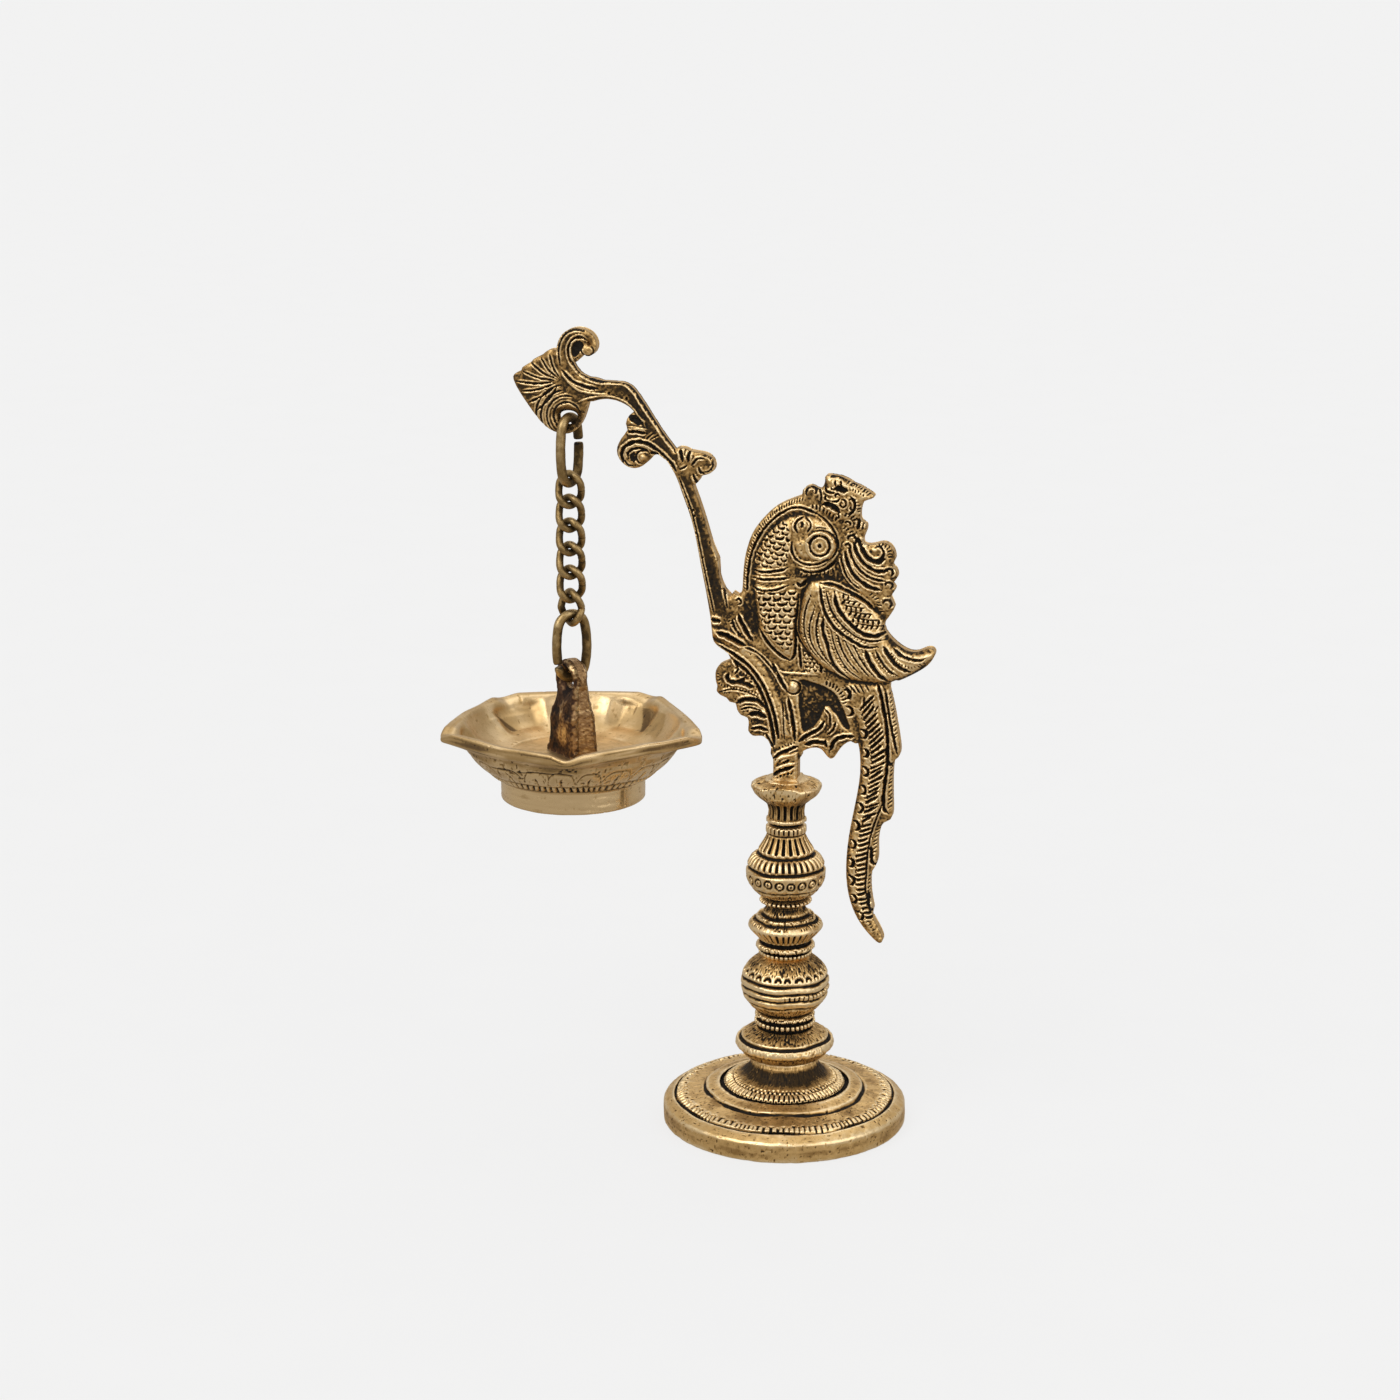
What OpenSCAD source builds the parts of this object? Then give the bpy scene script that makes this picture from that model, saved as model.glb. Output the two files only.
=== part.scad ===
// Standing brass oil lamp. A turned base and stem carry a cast bird branch,
// and a five-wick bowl hangs from the branch on a short chain.
// Millimetres, +Z up. The origin is on the stem's axis, on the surface the lamp stands on.
// The branch lies in the X-Z plane, the chain side towards -X, its front face towards -Y.

/* [Base] */
// Radius of the round base
base_r = 31.5; // [30:0.5:33]
// Height of the base's upright rim
base_rim_h = 4.4; // [3.6:0.1:5]

/* [Stem] */
// Radius of the flared knop above the base
knop_r = 12.8; // [11.5:0.1:14]
// Radius of the ball
ball_r = 11.4; // [10:0.1:12.5]
// Radius of the pointed disc between ball and bulb
disc_r = 9.6; // [8.5:0.1:11]
// Radius of the bulb
bulb_r = 10.25; // [9:0.05:11.5]
// Radius of the cup that holds the branch
cup_r = 9; // [8.6:0.1:9.6]

/* [Branch] */
// Thickness of the arm and its scrolls
arm_t = 4.8; // [4.4:0.1:5.4]
// Thickness of the bird's raised body
bird_t = 8; // [7:0.1:9.5]
// Side of the square tang that stands in the cup
tang_w = 6.4; // [5.6:0.1:6.8]

/* [Chain] */
// Wire of the two oval rings
ring_wire = 2.5; // [2.3:0.05:2.55]
// Width over an oval ring
ring_w = 11; // [10.9:0.05:11.6]
// Wire of a chain link
link_wire = 1.95; // [1.7:0.05:2]
// Width over a chain link
link_w = 7.6; // [7.4:0.1:8.2]
// Distance from one link to the next
link_pitch = 6.1; // [5.6:0.1:6.2]

/* [Bowl] */
// Corner radius of the bowl's five-cornered rim
rim_corner_r = 35.8; // [34:0.1:36]
// Radius of the bowl's foot
foot_r = 18.6; // [17:0.1:20]
// Height from the foot to the rim
bowl_h = 19.8; // [19.6:0.1:20.6]

/* [Hidden] */

$fn = 96;
brass = [0.72, 0.57, 0.3];
dark_brass = [0.45, 0.34, 0.18];

// Joints between the stem's pieces
base_top = 17.5;
stem_joint = 45;
cup_z = 90.6;
cup_top = 92.3;
// The stud, its nut and its washer
stud_r = 2;
stud_clear_r = 2.15;
stud_bottom = 3.2;
stud_top = 68;
seat_z = 8.5;
washer_t = 1;
nut_h = 3.2;
nut_across_flats = 7;
tang_bottom = 86.4;
// The chain hangs from the eyelet
chain_x = -56;
eyelet_z = 183.55;
eyelet_r = 2.3;
hole_flare = 2.2;         // how far a hole opens out towards the faces
flare_start = 0.6;        // the half thickness at which it starts to open
ring_h = 19.2;
ring_end_r = 3.8;         // how round the ends of an oval ring are, to the middle of its wire
// A ring bears on the rims of its hole, so its wire stands this far above the hole's wall
ring_rest = 0.5;
play = 0.16;
link_count = 6;
link_yaw = 10;
last_link_yaw = -8;
link_twist = 45;
top_ring_yaw = 72;
bottom_ring_yaw = 40;
lug_yaw = -45;
// Each oval ring is cut open at one side, this far below its top
cut_gap = 0.9;
top_ring_cut = 7;
bottom_ring_cut = 13.6;
// Middle line of an oval ring: two tight end arcs joined by two flat side arcs
ring_half_w = (ring_w - ring_wire) / 2;
ring_half_h = (ring_h - ring_wire) / 2;
ring_end_z = ring_half_h - ring_end_r;
ring_side_r = (ring_end_z * ring_end_z + ring_half_w * ring_half_w - ring_end_r * ring_end_r)
    / (2 * (ring_half_w - ring_end_r));
ring_lean = asin(ring_end_z / (ring_side_r - ring_end_r));
ring_top_z = eyelet_z - eyelet_r + ring_rest + ring_wire / 2;
ring_bottom_z = ring_top_z - (ring_h - ring_wire);
link_h = link_pitch + 2 * link_wire + play;
hook_gap = (ring_wire + link_wire) / 2 + play;
first_link_z = ring_bottom_z + hook_gap - (link_h - link_wire) / 2;
last_link_z = first_link_z - (link_count - 1) * link_pitch;
low_ring_top_z = last_link_z - (link_h - link_wire) / 2 + hook_gap;
low_ring_bottom_z = low_ring_top_z - (ring_h - ring_wire);
lug_hole_r = 2.3;
lug_hole_z = low_ring_bottom_z + ring_wire / 2 + ring_rest - lug_hole_r;
lug_top_r = 5.5;
lug_foot_w = 14;
lug_t = 4.4;
lug_foot_t = 7.4;
rim_z = lug_hole_z - 10.9;
floor_z = rim_z - 8.6;
foot_z = rim_z - bowl_h;
rim_first_corner = -78.3;

// A point on the smooth curve between b and c, which leans on the points before and after them
function on_curve(a, b, c, d, t) =
    0.5 * (2 * b + (c - a) * t + (2 * a - 5 * b + 4 * c - d) * t * t + (3 * b - a - 3 * c + d) * t * t * t);

// A smooth closed curve through the points p, with n steps between each two
function smooth_loop(p, n = 2) = let (m = len(p))
    [for (i = [0 : m - 1], k = [0 : n - 1])
        on_curve(p[(i + m - 1) % m], p[i], p[(i + 1) % m], p[(i + 2) % m], k / n)];

// A smooth open curve through the points p, with n steps between each two
function smooth_line(p, n = 3) = let (m = len(p))
    concat([for (i = [0 : m - 2], k = [0 : n - 1])
        on_curve(p[max(i - 1, 0)], p[i], p[i + 1], p[min(i + 2, m - 1)], k / n)], [p[m - 1]]);

// Turns the profile, given as radius and height, round the stem's axis
module turned(profile) {
    rotate_extrude() polygon(concat([[0, profile[0][1]]], profile, [[0, profile[len(profile) - 1][1]]]));
}

// A bead that stands out round the stem
module bead(z, r, bead_r) {
    translate([0, 0, z]) rotate_extrude() translate([r - bead_r, 0]) circle(bead_r, $fn = 24);
}

// A bore along the stem for the stud
module stud_bore(r, z0, z1) {
    translate([0, 0, z0]) cylinder(h = z1 - z0, r = r);
}

module base() {
    color(brass) difference() {
        turned(concat([[base_r, 0], [base_r, base_rim_h]],
            smooth_line([[base_r - 0.4, base_rim_h + 1], [base_r - 1.3, base_rim_h + 1.8], [28.6, 7.1]]),
            [[28.2, 6.6], [28, 7.2], [26.8, 7.8]],
            smooth_line([[25, 7.8], [23, 8], [20.9, 8.4]]),
            [[20.6, 9], [16.8, 9.9], [16.4, 9.3], [16.1, 10.2], [13.4, 11.6]],
            smooth_line([[12, 12], [10.4, 13], [9.2, 14.6], [8.7, 16.1], [8.4, base_top]])));
        // The hollow underside
        translate([0, 0, -1]) cylinder(h = 1 + 2.6, r = base_r - 3);
        turned([[base_r - 3, 2.5], [base_r - 5.5, 4.6], [20, 5.2], [12, seat_z], [0.1, seat_z]]);
        stud_bore(stud_clear_r, 0, base_top + 1);
    }
}

module base_washer() {
    color(dark_brass) translate([0, 0, seat_z - washer_t]) difference() {
        cylinder(h = washer_t, r = 5);
        translate([0, 0, -1]) cylinder(h = washer_t + 2, r = stud_clear_r);
    }
}

module base_nut() {
    color(dark_brass) translate([0, 0, seat_z - washer_t - nut_h]) difference() {
        cylinder(h = nut_h, r = nut_across_flats / 2 / cos(30), $fn = 6);
        translate([0, 0, -1]) cylinder(h = nut_h + 2, r = stud_r);
    }
}

module tie_stud() {
    color(dark_brass) translate([0, 0, stud_bottom]) cylinder(h = stud_top - stud_bottom, r = stud_r);
}

module lower_stem() {
    color(brass) difference() {
        union() {
            turned(smooth_line([[8.4, base_top], [10.2, 17.7], [knop_r - 1, 18.5], [knop_r - 0.2, 19.9],
                [knop_r, 21.3], [knop_r - 0.3, 22.4], [knop_r - 1.6, 23.3], [9.4, 24.4], [7.6, 25.4],
                [6.3, 26.4], [6, 28], [6.2, 29.6], [7.4, 30.3], [9, 31.6], [ball_r - 0.8, 33.6],
                [ball_r - 0.1, 36], [ball_r, 38.3], [ball_r - 0.8, 41.1], [8.3, 43.6], [6.6, 44.5],
                [5.4, stem_joint]]));
            bead(26.9, 7, 0.9);
            bead(28.8, 7, 0.8);
        }
        stud_bore(stud_clear_r, base_top - 1, stem_joint + 1);
    }
}

module upper_stem() {
    color(brass) difference() {
        union() {
            turned(concat(
                smooth_line([[5.4, stem_joint], [5.4, 46.6], [5.9, 48.7], [7.2, 50], [disc_r - 0.4, 52.2],
                    [disc_r, 53.3], [disc_r - 0.9, 54.5]]),
                [[8, 54.6], [7.4, 55.9], [6.7, 56]],
                smooth_line([[5.3, 57.5], [4.9, 58.4], [5.2, 60.6], [6.6, 61.3], [8.7, 63.3],
                    [bulb_r - 0.3, 65.5], [bulb_r, 68], [bulb_r - 0.4, 70], [9, 71.5], [8, 72.2]]),
                smooth_line([[7.5, 73], [6.1, 75.2], [4.9, 77.4], [4.6, 78.6], [4.6, 81.2], [4.7, 82.6],
                    [4.6, 84], [5, 85.7], [6.2, 86.9], [cup_r - 1.2, 88.2], [cup_r - 0.3, 89.4],
                    [cup_r, cup_z], [cup_r - 0.8, 91.2], [6, 91.9]]),
                [[5, cup_top]]));
            bead(45.9, 6.1, 0.8);
            bead(47.6, 6.7, 0.9);
            bead(59.9, 6, 0.8);
            translate([0, 0, 78]) cylinder(h = 1.9, r = 5.15);
            translate([0, 0, 81]) cylinder(h = 1, r = 5.1);
        }
        stud_bore(stud_r, stem_joint - 1, stud_top + 2);
        // The square socket for the branch's tang
        translate([-tang_w / 2, -tang_w / 2, tang_bottom]) cube([tang_w, tang_w, cup_top]);
        // The flat filed on the front of the cup
        translate([-cup_r, -cup_r - 7.6, 88.4]) cube([2 * cup_r, cup_r, 4]);
    }
}

// Outlines of the branch in X and Z, drawn in the order of the curve
fan = [[-70, 193], [-69.2, 194], [-67.9, 194.5], [-67.5, 195.5], [-65.2, 196.9], [-64.6, 197.6],
    [-62.4, 198.7], [-61.6, 199.4], [-60.3, 200.1], [-58.7, 199.7], [-55, 196], [-50, 189], [-50.8, 187],
    [-51.6, 184.3], [-52.8, 181.6], [-54.6, 179.6], [-57, 179], [-59.5, 179.5], [-61.8, 180.8],
    [-64, 183.1], [-66.3, 186.2], [-68.4, 189.3], [-69.5, 191.3]];

scroll = [[-58.8, 199.3], [-58.4, 201.8], [-57.4, 203.8], [-55.6, 205.2], [-53.3, 205.7], [-51, 205.2],
    [-49.2, 203.8], [-48.4, 201.7], [-48.9, 199.8], [-50.4, 198.7], [-51.9, 199.2], [-52.2, 200.5],
    [-51.4, 201.5], [-50.1, 201.7], [-50.9, 203], [-52.8, 203.5], [-54.4, 202.8], [-55.2, 200.9],
    [-55, 198.4], [-54.2, 196.2], [-52.6, 194.2], [-50, 192.9], [-50, 190], [-56, 192], [-58.4, 196]];

scroll_web = [[-55.5, 203], [-50.5, 203.5], [-50.5, 201], [-51.8, 199], [-54, 197], [-55.8, 198]];

arm = [[-52, 193.4], [-47, 192.6], [-44, 192.5], [-41.3, 192.2], [-39.6, 191.3], [-38, 189.4],
    [-35.6, 185.9], [-32, 180.4], [-29.3, 176.9], [-27, 173.5], [-25, 169.5], [-23.4, 165.5],
    [-21.8, 161], [-20.4, 156.5], [-19.2, 152.4], [-17.6, 148.6], [-17.4, 144.5], [-16.2, 141.4],
    [-14.4, 139.2], [-10, 135], [-8, 126], [-13, 122], [-15, 124.6], [-16.9, 125.8], [-18.3, 127],
    [-19, 128.6], [-19.5, 133.5], [-20.8, 141], [-22, 147], [-23.2, 153.5], [-24.4, 158.5],
    [-25.8, 162.5], [-27, 165.8], [-28, 168.6], [-29.4, 171.3], [-31, 173.6], [-33, 176],
    [-37.5, 182.8], [-39.3, 185.6], [-41.2, 187], [-43.5, 187.9], [-46, 188.2], [-48, 187.9],
    [-51, 187.4], [-54, 190]];

left_volute = [[-38.2, 185], [-40.2, 184.3], [-41.1, 182.2], [-40.7, 180.6], [-42.2, 178.5],
    [-43.3, 176.3], [-43.3, 174.2], [-42.1, 172.3], [-40.4, 171.2], [-38.6, 171], [-36.8, 171.7],
    [-35.2, 173.1], [-34, 174.4], [-32.6, 174.6], [-30, 173], [-30, 177], [-34, 182]];

right_volute = [[-28.6, 176.2], [-26.4, 176.6], [-24.8, 175.9], [-22.6, 175.6], [-20.6, 175.2],
    [-19.1, 174.1], [-18.5, 172.4], [-19, 170.9], [-20.4, 170.1], [-22, 169.6], [-23.2, 167.6],
    [-25.5, 168], [-28.5, 173]];

bird = [[-14.4, 139.2], [-12.6, 139.6], [-11.4, 141], [-11.2, 144.5], [-10.8, 149], [-10, 152.5],
    [-8.9, 155.6], [-7.3, 158.2], [-5.2, 160.7], [-2.9, 162.7], [-0.4, 164.1], [2, 165.1], [3.6, 165.9],
    [3.8, 167.2], [4.9, 168.1], [6.4, 168.3], [7.9, 167.5], [8.9, 168.3], [9.4, 169.8], [9.6, 171.1],
    [13.2, 170.9], [16, 169.6], [19, 168.2], [21.6, 166.5], [21, 165.7], [19.2, 165], [18.4, 163.4],
    [18.2, 161.3], [18.6, 160], [19.8, 159.1], [19.8, 157.6], [19.1, 155.8], [19.2, 154.4],
    [20.6, 154], [22.4, 154.4], [24.2, 154.8], [25.8, 154.1], [26.8, 152.6], [27.1, 150.8],
    [26.4, 149.2], [27.3, 148.2], [27.8, 146.6], [27.2, 145.3], [26.6, 144.5], [27.3, 143.3],
    [26.6, 141.9], [26.1, 141], [27.1, 138.6], [25.8, 136], [24.6, 134.2], [24.9, 132.4],
    [26.4, 130.4], [28.8, 128.4], [31.2, 127.3], [33.3, 127.4], [35.2, 128.3], [36.7, 128.4],
    [37.5, 127.4], [37, 125.8], [35.6, 124], [33.4, 122.4], [31, 121], [28.6, 119.8], [26.4, 119.2],
    [18, 112], [2, 112], [-12, 122]];

tail = [[12, 121], [15, 113], [17, 107], [18.4, 103.3], [19, 100], [19.1, 95], [18.4, 89.5], [17.3, 83.5],
    [16.4, 78], [15.9, 72.5], [15.9, 67.5], [16.5, 63], [17.6, 59.3], [19.2, 56], [21.2, 53.3],
    [23.2, 51.2], [24.6, 50.2], [25.5, 50.8], [25.2, 52.6], [24, 55], [22.6, 57.6], [23, 59.2],
    [22.5, 61.6], [22.1, 65], [22.2, 68.6], [23.4, 70.8], [23.9, 73.2], [23.8, 77.4], [24.3, 80.5],
    [25.4, 82.5], [27, 83.4], [27.5, 85.2], [27.4, 89], [27.3, 94.4], [27.6, 98.6], [28.8, 99.9],
    [29.2, 101.8], [28.8, 105], [28.1, 109], [27.2, 113.5], [26.2, 117.5], [25, 121]];

leaves = [[-14, 125], [-13.8, 123.2], [-15.6, 122.2], [-17.4, 121.2], [-18.2, 119.4], [-18.1, 117.2],
    [-17.7, 115.9], [-17.9, 114.6], [-16.8, 113.5], [-15.3, 112.9], [-14.5, 111.9], [-13, 111.6],
    [-12.6, 110], [-11.6, 108.6], [-9.9, 108], [-9.6, 106.3], [-9.7, 104.6], [-8.6, 103.4],
    [-7.2, 103.4], [-5.8, 103.4], [-4.6, 102.4], [-3.8, 100.6], [-3.3, 97.6], [3.2, 97.6], [4, 99.6],
    [5.6, 100.7], [7.6, 101.2], [9.2, 100.8], [10.2, 99.6], [11.4, 98.5], [12.5, 99], [13.5, 100.6],
    [14.8, 102.3], [16.6, 103.4], [19, 103.2], [20, 112], [16, 121], [0, 126]];

// The recessed ground between stalk, leaves and tail
panel = [[3.4, 106], [7, 106.6], [9, 109], [12.5, 110.5], [14.4, 110], [13, 114], [9.5, 117.5],
    [3.6, 118.6]];

breast = [[-8.4, 143], [-7.4, 150], [-4.4, 156], [0.4, 160.4], [6.4, 161], [11.4, 158], [13, 152.6],
    [9, 147], [5.4, 144], [3.4, 137], [3.2, 131], [1.4, 126], [-3, 127.8], [-6.8, 132], [-8.4, 138]];

wing = [[8, 145.4], [5, 143.6], [3.4, 138], [3.4, 132], [5.4, 127], [9, 123.4], [14, 120.8], [20, 119.6],
    [26, 120], [31, 122.2], [35, 125.2], [35.6, 127], [32, 126.2], [28, 127.4], [24.4, 131], [23, 135],
    [18, 141], [12.6, 144.4]];

// A flat plate of thickness t that stands in the branch's plane, cut to the outlines inside it
module standing(t) {
    rotate([90, 0, 0]) linear_extrude(t, center = true) children();
}

module branch_casting() {
    color(brass) difference() {
        union() {
            standing(arm_t) {
                polygon(smooth_loop(fan));
                polygon(smooth_loop(scroll));
                polygon(smooth_loop(arm));
                polygon(smooth_loop(left_volute));
                polygon(smooth_loop(right_volute));
                polygon(smooth_loop(bird));
                polygon(smooth_loop(tail));
                polygon(smooth_loop(leaves));
            }
            standing(arm_t / 2) polygon(scroll_web);
            standing(bird_t) polygon(smooth_loop(breast));
            standing(bird_t) polygon(smooth_loop(wing));
            // The head round the eye
            translate([7.4, 0, 153.4]) rotate([90, 0, 0]) cylinder(h = bird_t + 1, r = 5.4, center = true);
            translate([-tang_w / 2, -tang_w / 2, tang_bottom]) cube([tang_w, tang_w, 102 - tang_bottom]);
        }
        // The recessed ground, on both faces
        for (side = [-1, 1])
            translate([0, side * arm_t, 0]) standing(arm_t + 1.4) polygon(smooth_loop(panel));
        // The eyelet, opened out towards both faces
        translate([chain_x, 0, eyelet_z]) rotate([90, 0, 0]) {
            cylinder(h = 2 * arm_t, r = eyelet_r, center = true);
            for (side = [0, 1])
                mirror([0, 0, side]) translate([0, 0, flare_start])
                    cylinder(h = 2, r1 = eyelet_r, r2 = eyelet_r + hole_flare);
        }
    }
}

// Angles after one angle up to another, at about an even step
function run(from, to, step) = let (count = max(1, ceil((to - from) / step)))
    [for (i = [1 : count]) from + (to - from) * i / count];

// The point of a ring's middle line at which the ring faces outwards at an angle
function ring_point(angle) = let (
    on_end = abs(sin(angle)) > sin(ring_lean),
    r = on_end ? ring_end_r : ring_side_r,
    middle = on_end ? [0, sign(sin(angle)) * ring_end_z]
        : [sign(cos(angle)) * (ring_half_w - ring_side_r), 0])
    [middle[0] + r * cos(angle), 0, middle[1] + r * sin(angle)];

// An oval ring: round wire bent from one lip of its gap round to the other.
// The gap is in one side, where the wire's ends were bent to meet.
module oval_ring(top_z, yaw, cut_side, cut_down) {
    sides = 16;
    side_step = 3;
    end_step = 8;
    gap_foot = asin((ring_half_h - cut_down) / ring_side_r);
    gap_top = asin((ring_half_h - cut_down + cut_gap) / ring_side_r);
    angles = concat([gap_top], run(gap_top, ring_lean, side_step),
        run(ring_lean, 180 - ring_lean, end_step), run(180 - ring_lean, 180 + ring_lean, side_step),
        run(180 + ring_lean, 360 - ring_lean, end_step), run(360 - ring_lean, 360 + gap_foot, side_step));
    last = len(angles) - 1;
    points = [for (angle = angles, k = [0 : sides - 1])
        let (out = [cos(angle), 0, sin(angle)], across = [0, -1, 0])
        ring_point(angle) + ring_wire / 2 * (cos(360 * k / sides) * out + sin(360 * k / sides) * across)];
    skin = [for (i = [0 : last - 1], k = [0 : sides - 1])
        let (j = i + 1, l = (k + 1) % sides)
        [i * sides + l, j * sides + l, j * sides + k, i * sides + k]];
    first_lip = [for (k = [sides - 1 : -1 : 0]) k];
    last_lip = [for (k = [0 : sides - 1]) last * sides + k];
    translate([chain_x, 0, top_z - ring_half_h]) rotate([0, 0, yaw])
        mirror([cut_side < 0 ? 1 : 0, 0, 0]) polyhedron(points, concat(skin, [first_lip, last_lip]));
}

module top_ring() {
    color(brass) oval_ring(ring_top_z, top_ring_yaw, 1, top_ring_cut);
}

module bottom_ring() {
    color(brass) oval_ring(low_ring_top_z, bottom_ring_yaw, -1, bottom_ring_cut);
}

// The middle line of a link before it is twisted: a straight-sided oval in X and Z
function oval(a, c, n, m) = concat(
    [for (i = [0 : n]) [a * cos(180 * i / n), c + a * sin(180 * i / n)]],
    [for (i = [1 : m - 1]) [-a, c - 2 * c * i / m]],
    [for (i = [0 : n]) [-a * cos(180 * i / n), -c - a * sin(180 * i / n)]],
    [for (i = [1 : m - 1]) [a, 2 * c * i / m - c]]);

// The twist at a share of the link's half height, from -1 at its foot to 1 at its top
function twist_at(share, last) = -link_twist * (last ? abs(share) : share);
function turned_about_z(p, angle) = [p[0] * cos(angle), p[0] * sin(angle), p[1]];
function unit(v) = v / norm(v);

// A curb link: round wire bent to an oval and twisted, so that both its bows cross the next link's
// The lowest link's two bows lie the same way, so that it crosses the bottom ring as well.
module chain_link(number) {
    sides = 12;
    half_w = (link_w - link_wire) / 2;
    half_h = (link_h - link_wire) / 2;
    flat_line = oval(half_w, half_h - half_w, 12, 3);
    last = number == link_count;
    line = [for (p = flat_line) turned_about_z(p, twist_at(p[1] / half_h, last))];
    rings = len(line);
    points = [for (i = [0 : rings - 1], k = [0 : sides - 1])
        let (along = unit(line[(i + 1) % rings] - line[(i + rings - 1) % rings]),
            turn = twist_at(line[i][2] / half_h, last),
            flat = [-sin(turn), cos(turn), 0],
            across = unit(flat - (flat * along) * along),
            out = cross(along, across))
        line[i] + link_wire / 2 * (cos(360 * k / sides) * out + sin(360 * k / sides) * across)];
    faces = [for (i = [0 : rings - 1], k = [0 : sides - 1])
        let (j = (i + 1) % rings, l = (k + 1) % sides)
        [i * sides + l, j * sides + l, j * sides + k, i * sides + k]];
    translate([chain_x, 0, first_link_z - (number - 1) * link_pitch])
        rotate([0, 0, last ? last_link_yaw : link_yaw]) color(brass) polyhedron(points, faces);
}

// Radius of the rim in the direction of an angle: a five-cornered outline whose sides bow out a little
function rim_r(angle) = let (
    from_corner = abs((angle - rim_first_corner + 3636) % 72 - 36),
    side = 0.85 * cos(36) / cos(36 - from_corner) + 0.15)
    rim_corner_r * side;

// The bowl's section as rings from the middle of its underside to the middle of its floor.
// Each is [radius of its round share, share of the rim's outline, inset from that outline, height].
bowl_rings = [[foot_r - 3.4, 0, 0, foot_z + 8], [foot_r - 2.6, 0, 0, foot_z], [foot_r, 0, 0, foot_z],
    [foot_r, 0, 0, foot_z + 5.6], [20.2, 0, 0, foot_z + 6], [22.8, 0, 0, foot_z + 8.2],
    [25.2, 0, 0, foot_z + 10.4], [27.2, 0, 0, foot_z + 13], [27.8, 0.1, 1, foot_z + 15],
    [28, 0.55, 1, rim_z - 3.9], [28, 1, 0.8, rim_z - 3], [28, 1, 0, rim_z - 2.5], [28, 1, 0, rim_z - 0.5],
    [28, 1, 0.6, rim_z], [28, 1, 2.2, rim_z - 0.2], [27.4, 0.35, 3, rim_z - 1.4], [26, 0.1, 3, rim_z - 3.3],
    [23.8, 0, 0, rim_z - 5.8], [20.5, 0, 0, rim_z - 7.8], [16.5, 0, 0, floor_z]];

module oil_bowl() {
    sides = 60;
    count = len(bowl_rings);
    rim_points = [for (ring = bowl_rings, k = [0 : sides - 1])
        let (angle = 360 * k / sides, r = ring[0] * (1 - ring[1]) + ring[1] * (rim_r(angle) - ring[2]))
        [r * cos(angle), r * sin(angle), ring[3]]];
    points = concat(rim_points, [[0, 0, foot_z + 8.4], [0, 0, floor_z]]);
    wall = [for (i = [0 : count - 2], k = [0 : sides - 1])
        let (l = (k + 1) % sides)
        [i * sides + k, (i + 1) * sides + k, (i + 1) * sides + l, i * sides + l]];
    underside = [for (k = [0 : sides - 1]) [count * sides, k, (k + 1) % sides]];
    floor_face = [for (k = [0 : sides - 1])
        [count * sides + 1, (count - 1) * sides + (k + 1) % sides, (count - 1) * sides + k]];
    translate([chain_x, 0, 0]) color(brass) polyhedron(points, concat(underside, wall, floor_face));
}

// The rough cast lug that stands on the bowl's floor and takes the bottom ring
module bowl_lug() {
    hole_up = lug_hole_z - floor_z;
    color(dark_brass) translate([chain_x, 0, floor_z]) rotate([0, 0, lug_yaw]) difference() {
        union() {
            standing(lug_t) {
                polygon([[-lug_foot_w / 2, 0], [lug_foot_w / 2, 0], [lug_top_r - 0.3, hole_up - 2],
                    [lug_top_r, hole_up], [-lug_top_r, hole_up], [0.3 - lug_top_r, hole_up - 2]]);
                translate([0, hole_up]) circle(lug_top_r);
            }
            // The thicker foot, sloped at its top
            standing(lug_foot_t) polygon([[-lug_foot_w / 2, 0], [lug_foot_w / 2, 0], [6.1, hole_up - 7.5],
                [4, hole_up - 5.5], [-4, hole_up - 5.5], [-6.1, hole_up - 7.5]]);
        }
        translate([0, 0, hole_up]) rotate([90, 0, 0]) {
            cylinder(h = 10, r = lug_hole_r, center = true);
            for (side = [0, 1])
                mirror([0, 0, side]) translate([0, 0, flare_start])
                    cylinder(h = 2, r1 = lug_hole_r, r2 = lug_hole_r + hole_flare);
        }
    }
}

base();
base_washer();
base_nut();
tie_stud();
lower_stem();
upper_stem();
branch_casting();
top_ring();
chain_link(1);  // chain_link_1
chain_link(2);  // chain_link_2
chain_link(3);  // chain_link_3
chain_link(4);  // chain_link_4
chain_link(5);  // chain_link_5
chain_link(6);  // chain_link_6
bottom_ring();
oil_bowl();
bowl_lug();
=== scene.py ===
"""A standing brass oil lamp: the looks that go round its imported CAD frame.

The branch is a cast relief. Its outline is the CAD node's own, and the strokes below are cut and
raised into a height map over its face. The stem, base and bowl are turned or lofted surfaces with
their ornament worked in the same way. Sizes are in millimetres unless a name says otherwise.
"""

import math

import bmesh
import bpy
import numpy as np
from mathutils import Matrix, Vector, geometry


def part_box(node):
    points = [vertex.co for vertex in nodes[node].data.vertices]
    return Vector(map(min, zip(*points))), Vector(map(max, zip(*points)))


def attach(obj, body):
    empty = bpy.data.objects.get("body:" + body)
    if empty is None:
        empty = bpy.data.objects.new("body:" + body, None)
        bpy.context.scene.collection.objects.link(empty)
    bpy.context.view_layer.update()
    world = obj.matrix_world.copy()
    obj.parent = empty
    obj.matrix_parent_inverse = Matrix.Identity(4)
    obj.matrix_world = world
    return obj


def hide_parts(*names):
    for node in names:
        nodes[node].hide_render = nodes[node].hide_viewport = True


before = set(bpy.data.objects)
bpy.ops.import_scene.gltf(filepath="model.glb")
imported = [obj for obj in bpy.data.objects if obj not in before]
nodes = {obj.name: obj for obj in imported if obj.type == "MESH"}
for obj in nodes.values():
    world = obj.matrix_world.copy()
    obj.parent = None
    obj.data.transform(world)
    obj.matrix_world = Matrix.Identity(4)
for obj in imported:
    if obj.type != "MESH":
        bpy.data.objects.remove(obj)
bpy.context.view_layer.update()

MM = 0.001
draws = np.random.default_rng(11)


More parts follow.
